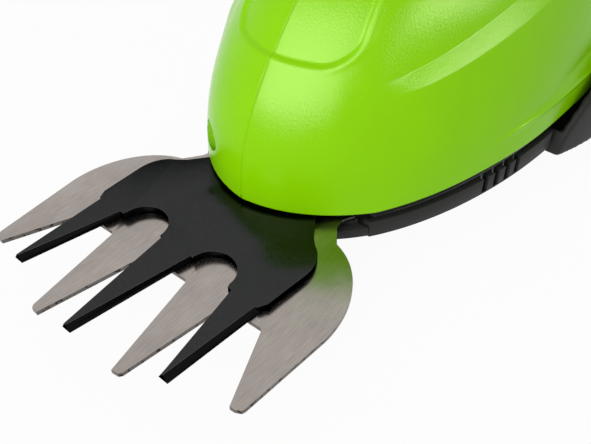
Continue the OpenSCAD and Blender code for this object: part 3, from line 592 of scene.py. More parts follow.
def head_w(y, offset=0):
    front = np.sqrt(np.clip(1 - ((HEAD_Y - y)/(HEAD_FRONT - offset))**2, 0, 1))
    behind = np.clip((y - HEAD_Y)/(HEAD_REAR - offset), 0, 1)
    back = (1 - behind**BACK_N)**(1/BACK_N)
    return (HEAD_HALF_W - offset)*np.where(y < HEAD_Y, front, back)


def head_h(y, offset=0):
    return (CREST_H - offset)*np.sqrt(np.clip(1 - ((CREST_Y - y)/(CREST_Y - NOSE_Y - offset))**2, 0, 1))


def head_stations(front_count, back_count, offset=0):
    theta = np.radians(np.linspace(FRONT_FIRST_DEG, 90, front_count))
    front = HEAD_Y - (HEAD_FRONT - offset)*np.cos(theta)
    phi = np.radians(np.linspace(0, BACK_LAST_DEG, back_count)[1:])
    back = HEAD_Y + (HEAD_REAR - offset)*np.sin(phi)**(2/BACK_N)
    return np.concatenate([front, back])


def rim_bend(y):
    """The rim dips beside the blades and rises towards the nose and the rear."""
    front = NOSE_RISE*(RISE_Y - y) - RIM_DIP
    back = np.minimum(RIM_HIGH, REAR_RISE*(y - RISE_Y) - RIM_DIP)
    return np.where(y < RISE_Y, front, back)


def head_z(y, h, s):
    return RIM_Z + h*np.sin(s) + rim_bend(y)*(1 - np.sin(s))**3


def swoosh(back, s):
    """Slanted facet along the flank, between two creases; it starts behind the nose and levels out."""
    lower = SWOOSH_S + SWOOSH_HOOK*np.exp((SWOOSH_HOOK_AT - back)/SWOOSH_HOOK_LEN)
    upper = lower + SWOOSH_W
    facet = SWOOSH_HIGH - (SWOOSH_HIGH + SWOOSH_LOW)*(s - lower)/SWOOSH_W
    below = SWOOSH_HIGH*np.exp((s - lower)/SWOOSH_FADE_LOW)
    above = -SWOOSH_LOW*np.exp((upper - s)/SWOOSH_FADE_HIGH)
    return np.where(s < lower, below, np.where(s > upper, above, facet))


def skirt(back, s):
    """Facet above the rim that widens towards the rear, with a fine bead along its lower edge."""
    run = np.clip(back - SKIRT_FROM, 0, None)
    lower = SKIRT_S - SKIRT_DROP*run
    upper = lower + SKIRT_SPREAD*run + SKIRT_LEAST
    arc = np.clip((upper - s)/(upper - lower), 0, 1)
    bead = BEAD_H*smooth_step(0, BEAD_RUN, run)*np.exp(-((s - lower)/BEAD_W)**2)
    return SKIRT_TILT*(upper - lower)*arc + bead


def head_details(x, y, z, s):
    """Height of the moulded details above the plain head, in millimetres."""
    d = -RIDGE_H*(1 - np.exp(-x/RIDGE_W))
    half = PANEL_HALF_W - PANEL_TAPER*np.clip(y - PANEL_TAPER_Y, 0, None)
    q1 = (z - PANEL_Z)*PANEL_SLOPE_Z
    q2 = np.minimum((half - x)*PANEL_SLOPE_X, PANEL_END_Y - y)
    r = PANEL_CORNER
    q = r - np.hypot(np.clip(r - q1, 0, None), np.clip(r - q2, 0, None))
    d -= PANEL_DEPTH*smooth_step(0, PANEL_STEP, q)
    d += LIP_H*np.exp(-((q + LIP_OUT)/LIP_OUT)**2)
    back = y - PIVOT_Y
    d += swoosh(back, s)*smooth_step(*SWOOSH_START, back)*(1 - smooth_step(*SWOOSH_END, back))
    d += skirt(back, s)*(1 - smooth_step(*SKIRT_END, back))
    d += BULGE_H*(1 - smooth_step(*BULGE_FADE, z - RIM_Z))*(1 - BULGE_LOSS*smooth_step(*BULGE_REAR, back))
    d -= SEAM_DEPTH*np.exp(-(x/SEAM_W)**2)
    t = np.clip(1 - (z - RIM_Z - rim_bend(y))/RIM_R, 0, 1)
    d -= RIM_R*(1 - np.sqrt(np.clip(1 - t*t, 0, 1)))
    return d


def sink_well(outer):
    """Pushes the skin in to the seat of the nose screw, with a round edge, and gives the points moved."""
    y, z = NOSE_SCREW
    dy = outer[:, :, 1] - y
    dz = outer[:, :, 2] - z
    r = np.hypot(dy, dz)
    outside = outer[:, :, 0] > SEAT_X
    inside = (r < WELL_R) & outside
    edge = (np.abs(r - WELL_R) < WELL_SNAP) & outside
    outer[edge, 1] = y + (dy*WELL_R/r)[edge]
    outer[edge, 2] = z + (dz*WELL_R/r)[edge]
    outer[inside, 0] = SEAT_X
    return inside, edge


# Arcs of the head's section from rim to crest, in degrees, with the points that each one needs
HEAD_ARCS = [(0, 2, 8), (2, 14, 60), (14, 28, 30), (28, 42, 60), (42, 88, 80), (88, 90, 12)]


def head_half(name, well=False):
    y = head_stations(240, 90)
    s_deg = np.concatenate([np.linspace(a, b, n, endpoint=False) for a, b, n in HEAD_ARCS] + [[90]])
    s = np.radians(s_deg)[None, :]
    w = head_w(y)[:, None]
    h = head_h(y)[:, None]
    step = 0.01
    dw = ((head_w(y + step) - head_w(y - step))/(2*step))[:, None]
    dh = ((head_h(y + step) - head_h(y - step))/(2*step))[:, None]
    yy = np.broadcast_to(y[:, None], (len(y), s.shape[1]))
    x = w*np.cos(s)
    z = head_z(yy, h, s)
    base = np.stack([x, yy, z], axis=2)
    tiny = 1e-9
    slope = -(np.cos(s)**2*dw/(w + tiny) + np.sin(s)**2*dh/(h + tiny))
    normal = np.stack([np.cos(s)/(w + tiny), slope, np.broadcast_to(np.sin(s)/(h + tiny), x.shape)], axis=2)
    normal /= np.linalg.norm(normal, axis=2, keepdims=True)
    d = head_details(x, yy, z, np.broadcast_to(s_deg[None, :], x.shape))
    outer = base + normal*d[:, :, None]
    inner = base - normal*WALL
    outer[:, :, 0] = np.clip(outer[:, :, 0], 0, None)
    inner[:, :, 0] = np.clip(inner[:, :, 0], 0, None)
    inner[:, :, 2] = np.maximum(inner[:, :, 2], RIM_Z + rim_bend(yy))
    # Painted shade along the seam groove, and in and at the edge of the screw well
    cavity = SEAM_SHADE*np.exp(-(outer[:, :, 0]/SEAM_W)**2)
    if well:
        inside, edge = sink_well(outer)
        cavity[inside] = WELL_SHADE
        cavity[edge] = WELL_EDGE_SHADE
    obj = shell(name, outer, inner)
    layer = obj.data.attributes.new("cavity", "FLOAT", "POINT")
    layer.data.foreach_set("value", np.concatenate([cavity.ravel(), np.zeros(cavity.size)]))
    return obj


# Screws that join the halves: y and z of each, seat and sizes
POST_R = 4.6
WELL_R = 3.2
WELL_SNAP = 0.2
SEAT_X = 6
NOSE_SCREW = (NOSE_Y + 6.5, RIM_Z + 7)
ROOT_SCREW = (ROOT_Y + 7, LOOP_Z + 31)
BAR_SCREW = (LOOP_Y + 14, LOOP_Z + 36)
POST_SCREW = (LOOP_Y + LOOP_HALF_LEN + POST_T/2, LOOP_Z + 8)
TAIL_SCREW = (LOW_BACK_Y - 21, DECK_Z - 12)
DECK_SCREW = (HEAD_Y + HEAD_REAR + POST_R + 1, DECK_Z - 8)
BODY_SCREWS = [ROOT_SCREW, BAR_SCREW, POST_SCREW, TAIL_SCREW, DECK_SCREW]


def make_head():
    right = head_half("head_right_skin")
    left = flipped(head_half("head_left_skin", True))
    for obj, node in ((right, "head_right"), (left, "head_left")):
        shade(obj, 50)
        dress(obj, "main", "green_plastic", [node])


# Rear body halves

TRIGGER_Y = LOOP_Y - 34
TRIGGER_Z = LOOP_Z + 28
TRIGGER_HALF_W = 6
TRIGGER_LEN = 38
LOCK_HALF_W = 6
LOCK_LEN = 14
LOCK_TOP = high("lock_button").z
LOCK_LOW = low("lock_button").z
JACK_R = 5.5
JACK_Z = 13
JACK_LEN = 14
LIGHT_R = 1.5
LIGHT_Z = 25
VOXEL = 0.6
SMOOTH_SHARE = 0.5
SMOOTH_STEPS = 11
OVERCUT = 3
LOOP_MORE = 0.3
LOOP_SHORT_DEG = 3
SEAM_PLAY = 0.2
LOW_LAST_DEG = 89.5
TIP_MORE = 4
RIB_OUT = 1.2
FRONT_RIB_W = 38
FRONT_RIB_LOW = 0.6
FRONT_RIB_DROP = 2.1
SLOT_PLAY = 0.6
SLOT_FRONT = 4.6
SLOT_MORE = 6
SLOT_H = 30
LOCK_PLAY = 0.4


def low_w(y, offset=0):
    front = np.sqrt(np.clip(1 - ((LOW_Y - y)/LOW_FRONT)**2, 0, 1))
    behind = np.clip((y - LOW_Y)/(LOW_REAR - offset), 0, 1)
    back = (1 - behind**LOW_N)**(1/LOW_N)
    return (LOW_HALF_W - offset)*np.where(y < LOW_Y, front, back)


def low_solid(name, offset, x0):
    theta = np.radians(np.linspace(0, LOW_LAST_DEG, 70)[1:])
    front = np.linspace(LOW_TIP_Y - TIP_MORE, LOW_Y, 24)
    y = np.concatenate([front, LOW_Y + (LOW_REAR - offset)*np.sin(theta)])
    s = np.radians(np.linspace(0, 90, 36))
    h = DECK_Z - 2*offset
    rings = []
    for at in y:
        w = low_w(np.array(at), offset)
        x = w*np.cos(s)**(2/LOW_SECTION_N)
        z = offset + h*np.sin(s)**(2/LOW_SECTION_N)
        ring = [(a, at, b) for a, b in zip(x, z)]
        ring += [(x0, at, offset + h), (x0, at, offset)]
        rings.append(ring)
    return loft(name, np.array(rings, float))


def super_r(p, a, b, n):
    return 1/((np.abs(np.cos(p))/a)**n + (np.abs(np.sin(p))/b)**n)**(1/n)


def hole_r(p):
    return super_r(p, LOOP_HALF_LEN, LOOP_HALF_H, HOLE_N)


def outer_r(p):
    a = OUTER_FRONT if math.cos(p) < 0 else LOOP_HALF_LEN + POST_T
    b = LOOP_HALF_H + BAR_T if math.sin(p) > 0 else LOOP_Z
    return super_r(p, a, b, OUTER_N)


def bar_point(p_deg, s_deg, offset):
    """Point of the handle bar at an angle round the loop and an angle round the bar."""
    p = math.radians(p_deg)
    s = math.radians(s_deg)
    c = math.cos(s)
    mid = (outer_r(p) + hole_r(p))/2
    half = (outer_r(p) - hole_r(p))/2 - offset
    r = mid + half*math.copysign(abs(c)**(2/BAR_N), c)
    width = BAR_HALF_W + BAR_FLARE*((p_deg - BAR_NARROW)/BAR_FLARE_DEG)**2 - offset
    return width*abs(math.sin(s))**(2/BAR_N), LOOP_Y + r*math.cos(p), LOOP_Z + r*math.sin(p)


def loop_solid(name, offset, x0):
    last = LOOP_TO - LOOP_SHORT_DEG if offset > 0 else LOOP_TO
    rings = []
    for p in np.linspace(LOOP_FROM, last, 100):
        ring = [bar_point(p, s, offset) for s in np.linspace(0, 180, 48)]
        ring += [(x0, *bar_point(p, 180, offset)[1:]), (x0, *bar_point(p, 0, offset)[1:])]
        rings.append(ring)
    solid = loft(name, np.array(rings, float))
    front = ROOT_Y - 1 if offset > 0 else ROOT_Y
    return boolean(solid, block("root_side", (-FAR, front, -FAR), (2*FAR, 2*FAR, 2*FAR)), "INTERSECT")


def head_solid(name, offset):
    """Plain half of the head, grown by an offset, above the rim."""
    y = head_stations(60, 24, -offset)
    s = np.radians(np.linspace(0, 90, 40))
    rings = []
    for at in y:
        w = head_w(np.array(at), -offset)
        h = head_h(np.array(at), -offset)
        ring = [(w*math.cos(a), at, head_z(at, h, a)) for a in s]
        ring += [(-3*OVERCUT, at, RIM_Z + h), (-3*OVERCUT, at, head_z(at, h, 0))]
        rings.append(ring)
    return loft(name, np.array(rings, float))


def sweep_outline():
    turn = np.radians(np.linspace(0, 90, 40))
    reach = DECK_Z + 1
    edge = [(LOW_TIP_Y + SWEEP_LEN*(1 - math.cos(t)), reach*math.sin(t)) for t in turn]
    return edge + [(LOW_BACK_Y + 1, reach), (LOW_BACK_Y + 1, -1), (LOW_TIP_Y, -1)]


def body_half(name):
    obj = low_solid(name, 0, -OVERCUT)
    boolean(obj, side_prism("sweep", sweep_outline(), -FAR, FAR), "INTERSECT")
    boolean(obj, head_solid("head_room", BODY_GAP), "DIFFERENCE")
    boolean(obj, loop_solid("loop", 0, -OVERCUT - LOOP_MORE), "UNION")
    room = low_solid("room", WALL, -2*OVERCUT)
    boolean(room, block("front_wall", (-FAR, LOW_TIP_Y + WALL, -FAR), (2*FAR, 2*FAR, 2*FAR)), "INTERSECT")
    boolean(obj, room, "DIFFERENCE")
    boolean(obj, loop_solid("loop_room", WALL, -2*OVERCUT - LOOP_MORE), "DIFFERENCE")
    rib_corner = (-OVERCUT - FRONT_RIB_LOW, LOW_TIP_Y - RIB_OUT, FRONT_RIB_LOW)
    rib_size = (FRONT_RIB_W + OVERCUT, RIB_OUT + WALL, RIM_Z - FRONT_RIB_DROP)
    boolean(obj, block("front_rib", rib_corner, rib_size), "UNION")
    slot = TRIGGER_HALF_W + SLOT_PLAY
    slot_size = (2*slot, TRIGGER_LEN + SLOT_MORE, SLOT_H)
    boolean(obj, block("trigger_slot", (-slot, TRIGGER_Y - SLOT_FRONT, LOOP_Z), slot_size), "DIFFERENCE")
    hole = LOCK_HALF_W + LOCK_PLAY
    span = LOCK_LEN/2 + LOCK_PLAY
    boolean(obj, block("lock_hole", (-hole, TRIGGER_Y - span, LOCK_LOW), (2*hole, 2*span, FAR)), "DIFFERENCE")
    boolean(obj, rod("jack_hole", (0, LOW_BACK_Y - JACK_LEN, JACK_Z), "y", FAR, JACK_R), "DIFFERENCE")
    boolean(obj, rod("light_hole", (0, LOW_BACK_Y - JACK_LEN, LIGHT_Z), "y", FAR, LIGHT_R), "DIFFERENCE")
    boolean(obj, block("right_side", (0, -FAR, -FAR), (FAR, 2*FAR, 2*FAR)), "INTERSECT")
    return obj


def soften(obj):
    """Even fine mesh with small rounds on all edges."""
    step = obj.modifiers.new("remesh", "REMESH")
    step.mode = "VOXEL"
    step.voxel_size = VOXEL*MM
    step.use_smooth_shade = True
    step = obj.modifiers.new("smooth", "SMOOTH")
    step.factor = SMOOTH_SHARE
    step.iterations = SMOOTH_STEPS
    apply_modifiers(obj)
    shade(obj, 60)


def make_body():
    right = body_half("body_right_skin")
    left = mirrored(right, "body_left_skin")
    for y, z in BODY_SCREWS:
        post = rod("post", (-LOW_HALF_W, y, z), "x", LOW_HALF_W - SEAM_PLAY, POST_R)
        boolean(post, flipped(low_or_loop(z)), "INTERSECT")
        boolean(left, post, "UNION")
        boolean(left, rod("well", (-FAR, y, z), "x", FAR - SEAT_X, WELL_R), "DIFFERENCE")
    for obj, node in ((right, "body_right"), (left, "body_left")):
        soften(obj)
        dress(obj, "main", "dark_plastic", [node])


def low_or_loop(z):
    """Inner side of the wall that a screw post meets at a height."""
    if z < DECK_Z:
        return low_solid("low_inside", WALL/2, -OVERCUT)
    return loop_solid("loop_inside", WALL/2, -OVERCUT)


# Soft pads on the bar

GRIP_T = 1.0
GRIP_FIT = 0.12
GRIP_FIRST = LOOP_FROM + (LOOP_TO - LOOP_FROM)*11/LOOP_STEPS
GRIP_LAST = LOOP_FROM + (LOOP_TO - LOOP_FROM)*20/LOOP_STEPS
GRIP_RIBS = 17
GRIP_SIDE = (45, 135)
GRIP_LEN = 68
GRIP_WIDE = 26
GRIP_ROUND = 0.9
GRIP_FIELD = (2.2, 3.4)
GRIP_RIB_DEEP = 0.55
GRIP_BOW = 0.05


def make_grip():
    p = np.linspace(GRIP_FIRST, GRIP_LAST, 240)
    s = np.linspace(*GRIP_SIDE, 60)
    outer = np.zeros((len(p), len(s), 3))
    inner = np.zeros_like(outer)
    for i, a in enumerate(p):
        u = i/(len(p) - 1)
        for j, b in enumerate(s):
            v = j/(len(s) - 1)
            edge = min(min(u, 1 - u)*GRIP_LEN, min(v, 1 - v)*GRIP_WIDE)
            lip = min(1.0, edge/GRIP_ROUND)
            thick = GRIP_FIT + (GRIP_T - GRIP_FIT)*math.sqrt(1 - (1 - lip)**2)
            wave = 0.5 - 0.5*math.cos(2*math.pi*GRIP_RIBS*(u + GRIP_BOW*math.cos(math.pi*(v - 0.5))))
            field = float(smooth_step(*GRIP_FIELD, np.array(edge)))
            thick -= GRIP_RIB_DEEP*field*wave**2
            outer[i, j] = bar_point(a, b, -thick)
            inner[i, j] = bar_point(a, b, -GRIP_FIT/2)
    right = shell("grip_right_pad", outer, inner)
    left = mirrored(right, "grip_left_pad")
    for obj, node in ((right, "grip_right"), (left, "grip_left")):
        shade(obj, 60)
        dress(obj, "main", "soft_grip", [node])


# Blades

def from_half(half):
    """Whole outline in x and y from its right half, given as x and the lead past the outer tips."""
    right = [(x, TIP_Y - f) for x, f in half]
    return right + [(-x, y) for x, y in reversed(right) if x > 0]


def arc(cx, cf, rx, rf, a0, a1, n):
    return [(cx + rx*math.cos(a), cf + rf*math.sin(a)) for a in np.radians(np.linspace(a0, a1, n))]


INNER_X = 14
INNER_LEAD = 9.8
NOTCH_F = -19
NOTCH_CUT = 0.7
NOTCH_IN = 7
NOTCH_MID = 19
NOTCH_OUT = HALF_SPAN - 9.3
SIDE_W = HALF_SPAN + 3.2
BOLT_R = 4
RIVET_X = 11
RIVET_Y = PIVOT_Y + 17
RIVET_R = 2
LOWER_BEVEL = 0.18


def lower_half():
    return ([(0, NOTCH_F), (NOTCH_IN - NOTCH_CUT, NOTCH_F), (NOTCH_IN, NOTCH_F + NOTCH_CUT),
             (INNER_X - 1.25, INNER_LEAD), (INNER_X + 0.65, INNER_LEAD - 0.2),
             (INNER_X + 1.25, INNER_LEAD - 1),
             (NOTCH_MID, NOTCH_F + NOTCH_CUT), (NOTCH_MID + NOTCH_CUT, NOTCH_F),
             (NOTCH_OUT - NOTCH_CUT, NOTCH_F), (NOTCH_OUT, NOTCH_F + NOTCH_CUT),
             (HALF_SPAN - 1.4, 0.6), (HALF_SPAN, 0.5), (HALF_SPAN + 1.3, -0.2), (HALF_SPAN + 1.6, -1)]
            + arc(SIDE_W - 21.2, -26, 21.2, -26, 0, 76, 40)
            + [(SIDE_W - 17.6, -53.2), (23.6, -56), (23, -58.2), (23.4, -60.2), (24.6, -62.4), (20.6, -66)]
            + arc(12, -77, 5, -5, 0, 90, 8))


def make_lower_blade():
    obj = prism("lower_blade_plate", from_half(lower_half()), BLADE_Z - LOWER_T, BLADE_Z)
    boolean(obj, rod("bolt_hole", (0, PIVOT_Y, 0), "z", FAR, BOLT_R), "DIFFERENCE")
    for x in (-RIVET_X, RIVET_X):
        boolean(obj, rod("rivet_hole", (x, RIVET_Y, 0), "z", FAR, RIVET_R), "DIFFERENCE")
    bevel(obj, LOWER_BEVEL, 3)
    dress(obj, "cassette", "blade_steel", ["lower_blade"])


ROOT_F = -24
ROOT_IN = 5.5
ROOT_BOW = 6.4
ROOT_MID = 12.2
ROOT_OUT = HALF_SPAN - 11
SHOULDER_W = HALF_SPAN - 10
SHOULDER_F = -38
EYE_R = 15
TAIL_W = 7
TAIL_LEN = 38
CRANK_Y = PIVOT_Y + 30
CRANK_THROW = 4.2
SLOT_HALF = 1.75
MIDDLE_TIP = 1.4
MIDDLE_EDGE = 0.3
MIDDLE_LEAD = 9
TOOTH_IN = HALF_SPAN - 20.6
TOOTH_TIP_IN = HALF_SPAN - 15
TOOTH_TIP_OUT = HALF_SPAN - 12.1
TOOTH_PEAK = HALF_SPAN - 13.6
TOOTH_EDGE = 0.2
TOOTH_LEAD = 3.6
TOOTH_SINK = 3
BOLT_PLAY = 0.05
UPPER_BEVEL = 0.16


def upper_half():
    return ([(0, ROOT_F - 2)]
            + arc(ROOT_MID, ROOT_F, ROOT_BOW, ROOT_BOW, 180, 360, 32)
            + [(ROOT_MID + ROOT_BOW + 0.4, ROOT_F + 1), (ROOT_OUT - 0.6, ROOT_F + 1),
               (ROOT_OUT + 0.5, ROOT_F - 1.4)]
            + arc(SHOULDER_W - 7, SHOULDER_F, 7, -9.3, 0, 70, 16)
            + [(SHOULDER_W - 7, SHOULDER_F - 10.8), (SHOULDER_W - 10.5, SHOULDER_F - 15.5), (EYE_R, -60),
               (EYE_R - 3, -67), (TAIL_W, -74), (TAIL_W, -60 - TAIL_LEN)])


def tooth(name, low_x, high_x, lead, side=1):
    """Ground tooth from inner and outer x at its root and tip, below and above."""
    back = ROOT_F - TOOTH_SINK
    rings = []
    for (a, b, c, d), z in ((low_x, UPPER_Z), (high_x, UPPER_Z + UPPER_T)):
        rings.append([(side*x, TIP_Y - f, z) for x, f in ((a, back), (b, back), (d, lead), (c, lead))])
    return loft(name, np.array(rings, float))


def make_upper_blade():
    obj = prism("upper_blade_plate", from_half(upper_half()), UPPER_Z, UPPER_Z + UPPER_T)
    middle_low = (-ROOT_IN, ROOT_IN, -MIDDLE_TIP, MIDDLE_TIP)
    middle_high = (-ROOT_IN, ROOT_IN, -MIDDLE_EDGE, MIDDLE_EDGE)
    boolean(obj, tooth("tooth", middle_low, middle_high, MIDDLE_LEAD), "UNION")
    outer_low = (TOOTH_IN, ROOT_OUT, TOOTH_TIP_IN, TOOTH_TIP_OUT)
    outer_high = (TOOTH_IN, ROOT_OUT - 1, TOOTH_PEAK - TOOTH_EDGE, TOOTH_PEAK + TOOTH_EDGE)
    for side in (-1, 1):
        boolean(obj, tooth("tooth", outer_low, outer_high, TOOTH_LEAD, side), "UNION")
    boolean(obj, rod("bolt_hole", (0, PIVOT_Y, 0), "z", FAR, BOLT_R + BOLT_PLAY), "DIFFERENCE")
    slot_y = CRANK_Y - CRANK_THROW - SLOT_HALF
    boolean(obj, block("slot", (-SLOT_HALF, slot_y, 0), (2*SLOT_HALF, FAR, FAR)), "DIFFERENCE")
    bevel(obj, UPPER_BEVEL, 3, 25)
    pivot = Vector((0, PIVOT_Y*MM, 0))
    turn = Matrix.Translation(pivot) @ Matrix.Rotation(-BLADE_TURN, 4, "Z") @ Matrix.Translation(-pivot)
    obj.data.transform(turn)
    dress(obj, "upper", "blade_black", ["upper_blade"])


# Blade cassette and its springy arms

BASE_LOW = 0.8
RIM_OUT = 0.6
ARM_T = 2
ARM_GAP = 3.8
ARM_INSET = ARM_T + ARM_GAP
ARM_LOW_Z = 0.4
ARM_LOW_RISE = 0.049
ARM_HIGH_Z = BLADE_Z - 0.6
ARM_HIGH_RISE = 0.06
EAVE_T = 0.8
EAVE_IN = 2.2
LIP_STEP = 1.2
LIP_STEP_IN = 3.4
STOP_LEN = 4
STOP_SINK = 0.1
LIP_FRONT = 2
SKID_SINK = 0.5
BOLT_ROOM_Z = 2.2
BOLT_ROOM_R = 7.3
TRAY_BEVEL = 0.3
ARM_BEVEL = 0.25
ARM_FRONT = low("release_arm_right").y
ARM_BACK = high("release_arm_right").y
SKID_IN = 14
CASSETTE_WALL = 2
GAP = 0.3
RIB_COUNT = 4
RIB_PITCH = 4.1
RIB_W = 1.9
RIB_DEEP = 1.7
RIB_FOOT = 0.5
GROOVE_EDGE = 0.02
RIB_Y = ARM_BACK - 29.3


def rim_w(y, inset):
    return float(head_w(np.array(y), -RIM_OUT)) - inset


def rim_points(y0, y1, inset, n):
    return [(rim_w(y, inset), y) for y in np.linspace(y0, y1, n)]


def rim_nose(y1, n):
    nose = NOSE_Y - RIM_OUT
    ys = nose + (y1 - nose)*(1 - np.cos(np.radians(np.linspace(0, 90, n))))
    return [(max(0.0, rim_w(y, 0)), y) for y in ys]


def both_sides(points):
    return points + [(-x, y) for x, y in reversed(points) if x > 0]


def rim_band(y0, y1, first, second, n):
    """Outline of a band along the rim, between two insets."""
    return rim_points(y0, y1, first, n) + list(reversed(rim_points(y0, y1, second, n)))


def on_both_sides(obj, make, operation):
    """Joins or cuts a piece and its mirror image."""
    boolean(obj, make(), operation)
    boolean(obj, flipped(make()), operation)


def arm_low(y):
    return ARM_LOW_Z + ARM_LOW_RISE*(y - RISE_Y)


def arm_high(y):
    return ARM_HIGH_Z + ARM_HIGH_RISE*(y - RISE_Y)


def eave(name):
    """Thin roof over the gap behind a release arm."""
    rings = []
    for y in np.linspace(ARM_FRONT + CASSETTE_WALL, ARM_BACK, 50):
        z = arm_high(y) + GAP
        x0 = rim_w(y, ARM_INSET + CASSETTE_WALL/2)
        x1 = rim_w(y, EAVE_IN)
        rings.append([(x0, y, z), (x1, y, z), (x1, y, z + EAVE_T), (x0, y, z + EAVE_T)])
    return loft(name, np.array(rings))


def make_cassette():
    top = BLADE_Z - LOWER_T
    front = ARM_FRONT - GAP
    outline = both_sides(rim_nose(front, 60) + rim_points(front, ARM_BACK, ARM_INSET, 50))
    obj = prism("cassette_tray", outline, BASE_LOW, top)
    skid = both_sides(rim_points(NOSE_Y + SKID_IN, ARM_BACK, SKID_IN, 40))
    boolean(obj, prism("skid", skid, 0, BASE_LOW + SKID_SINK), "UNION")
    walls = prism("walls", both_sides(rim_points(ARM_FRONT + CASSETTE_WALL, ARM_BACK, ARM_INSET, 50)),
                  BASE_LOW, RIM_Z - GAP)
    inside = both_sides(rim_points(ARM_FRONT, ARM_BACK - CASSETTE_WALL, ARM_INSET + CASSETTE_WALL, 50))
    boolean(walls, prism("room", inside, top, FAR), "DIFFERENCE")
    boolean(obj, walls, "UNION")
    lip = rim_band(NOSE_Y + LIP_FRONT, front, -1, LIP_STEP_IN, 30)
    on_both_sides(obj, lambda: prism("lip_step", lip, top - LIP_STEP, top + 2), "DIFFERENCE")
    stop = rim_band(front - 1, ARM_FRONT + STOP_LEN, ARM_INSET + 1, ARM_T + 2*GAP, 8)
    stop_top = top - LIP_STEP - STOP_SINK
    on_both_sides(obj, lambda: prism("arm_stop", stop, BASE_LOW + STOP_SINK, stop_top), "UNION")
    on_both_sides(obj, lambda: eave("eave"), "UNION")
    boolean(obj, rod("bolt_room", (0, PIVOT_Y, -FAR), "z", FAR + BOLT_ROOM_Z, BOLT_ROOM_R), "DIFFERENCE")
    boolean(obj, rod("bolt_hole", (0, PIVOT_Y, 0), "z", FAR, BOLT_R), "DIFFERENCE")
    bevel(obj, TRAY_BEVEL, 2, 40)
    dress(obj, "cassette", "dark_plastic", ["cassette_base"])


def shade_grooves(obj):
    """Marks the bottoms of the grooves of an arm for painted shade."""
    values = []
    for v in obj.data.vertices:
        y = v.co.y/MM
        depth = rim_w(y, 0) - abs(v.co.x/MM)
        along = (y - RIB_Y)/RIB_PITCH
        in_groove = -GROOVE_EDGE < along < RIB_COUNT and along % 1 < RIB_W/RIB_PITCH + GROOVE_EDGE
        values.append(1.0 if in_groove and depth > RIB_DEEP/2 else 0.0)
    obj.data.attributes.new("cavity", "FLOAT", "POINT").data.foreach_set("value", values)


def make_arms():
    rings = []
    for y in np.linspace(ARM_FRONT, ARM_BACK, 70):
        x0 = rim_w(y, ARM_T)
        x1 = rim_w(y, 0)
        rings.append([(x0, y, arm_low(y)), (x1, y, arm_low(y)), (x1, y, arm_high(y)), (x0, y, arm_high(y))])
    right = loft("release_arm_right_strip", np.array(rings))
    for k in range(RIB_COUNT):
        y = RIB_Y + RIB_PITCH*k
        corner = (rim_w(y, RIB_DEEP), y, arm_low(y) + RIB_FOOT)
        boolean(right, block("groove", corner, (2*ARM_T, RIB_W, FAR)), "DIFFERENCE")
    bevel(right, ARM_BEVEL, 2, 40)
    left = mirrored(right, "release_arm_left_strip")
    for obj, side in ((right, "right"), (left, "left")):
        shade(obj, 40)
        # Painted shade at the bottoms of the grooves
        shade_grooves(obj)
        dress(obj, "arm_" + side, "dark_plastic", ["release_arm_" + side])


# Trigger and lock button; the trigger's outline is in y and z from its pivot

TRIGGER_OUTLINE = [(-3.5, 1), (1, 3.8), (37, -1.5), (TRIGGER_LEN, -6), (34.5, -11), (24, -15.3), (12, -16),
                   (3, -13), (-3.2, -7)]
HUB_R = 4
PIN_HOLE_R = 1.55
SPRING_SEAT_R = 3.1
SPRING_SEAT_PLAY = 0.05
LOCK_GROOVE_W = 0.9
LOCK_GROOVE_HALF_LEN = 4.2
LOCK_GROOVE_PITCH = 2.3
LOCK_GROOVE_DEEP = 0.5
FLANGE_OUT = 1
FLANGE_T = 2.4
TRIGGER_BEVEL = 1.1
LOCK_BEVEL = 0.3


def make_trigger():
    obj = side_prism("trigger_lever", [(y + TRIGGER_Y, z + TRIGGER_Z) for y, z in TRIGGER_OUTLINE],
                     -TRIGGER_HALF_W, TRIGGER_HALF_W)
    boolean(obj, rod("hub", (-TRIGGER_HALF_W, TRIGGER_Y, TRIGGER_Z), "x", 2*TRIGGER_HALF_W, HUB_R), "UNION")
    boolean(obj, rod("pin_hole", (-FAR, TRIGGER_Y, TRIGGER_Z), "x", 2*FAR, PIN_HOLE_R), "DIFFERENCE")
    spring = (low("trigger_spring") + high("trigger_spring"))/2
    seat_z = low("trigger_spring").z - SPRING_SEAT_PLAY
    boolean(obj, rod("spring_seat", (0, spring.y, seat_z), "z", FAR, SPRING_SEAT_R), "DIFFERENCE")
    bevel(obj, TRIGGER_BEVEL, 3, 25)
    dress(obj, "trigger", "black_plastic", ["trigger"])


def make_lock():
    y = TRIGGER_Y
    size = (2*LOCK_HALF_W, LOCK_LEN, LOCK_TOP - LOCK_LOW)
    obj = block("lock_button_pad", (-LOCK_HALF_W, y - LOCK_LEN/2, LOCK_LOW), size)
    for k in range(-2, 3):
        groove_y = y + LOCK_GROOVE_PITCH*k - LOCK_GROOVE_W/2
        corner = (-LOCK_GROOVE_HALF_LEN, groove_y, LOCK_TOP - LOCK_GROOVE_DEEP)
        boolean(obj, block("groove", corner, (2*LOCK_GROOVE_HALF_LEN, LOCK_GROOVE_W, FAR)), "DIFFERENCE")
    corner = (-LOCK_HALF_W - FLANGE_OUT, y - LOCK_LEN/2 - FLANGE_OUT, LOCK_LOW)
    size = (2*LOCK_HALF_W + 2*FLANGE_OUT, LOCK_LEN + 2*FLANGE_OUT, FLANGE_T)
    boolean(obj, block("flange", corner, size), "UNION")
    bevel(obj, LOCK_BEVEL, 2, 40)
    dress(obj, "lock", "black_plastic", ["lock_button"])


# Screw heads with a cross recess, on their shanks

SCREW_HEAD_T = 2.2
SCREW_PLAY = 0.3
CROSS_HALF_W = 0.4
CROSS_HALF_LEN = 1.9
CROSS_FLOOR = 1
SHANK_R = 1.5
SHANK_SINK = 0.5
SHANK_IN = 9
SCREW_BEVEL = 0.15


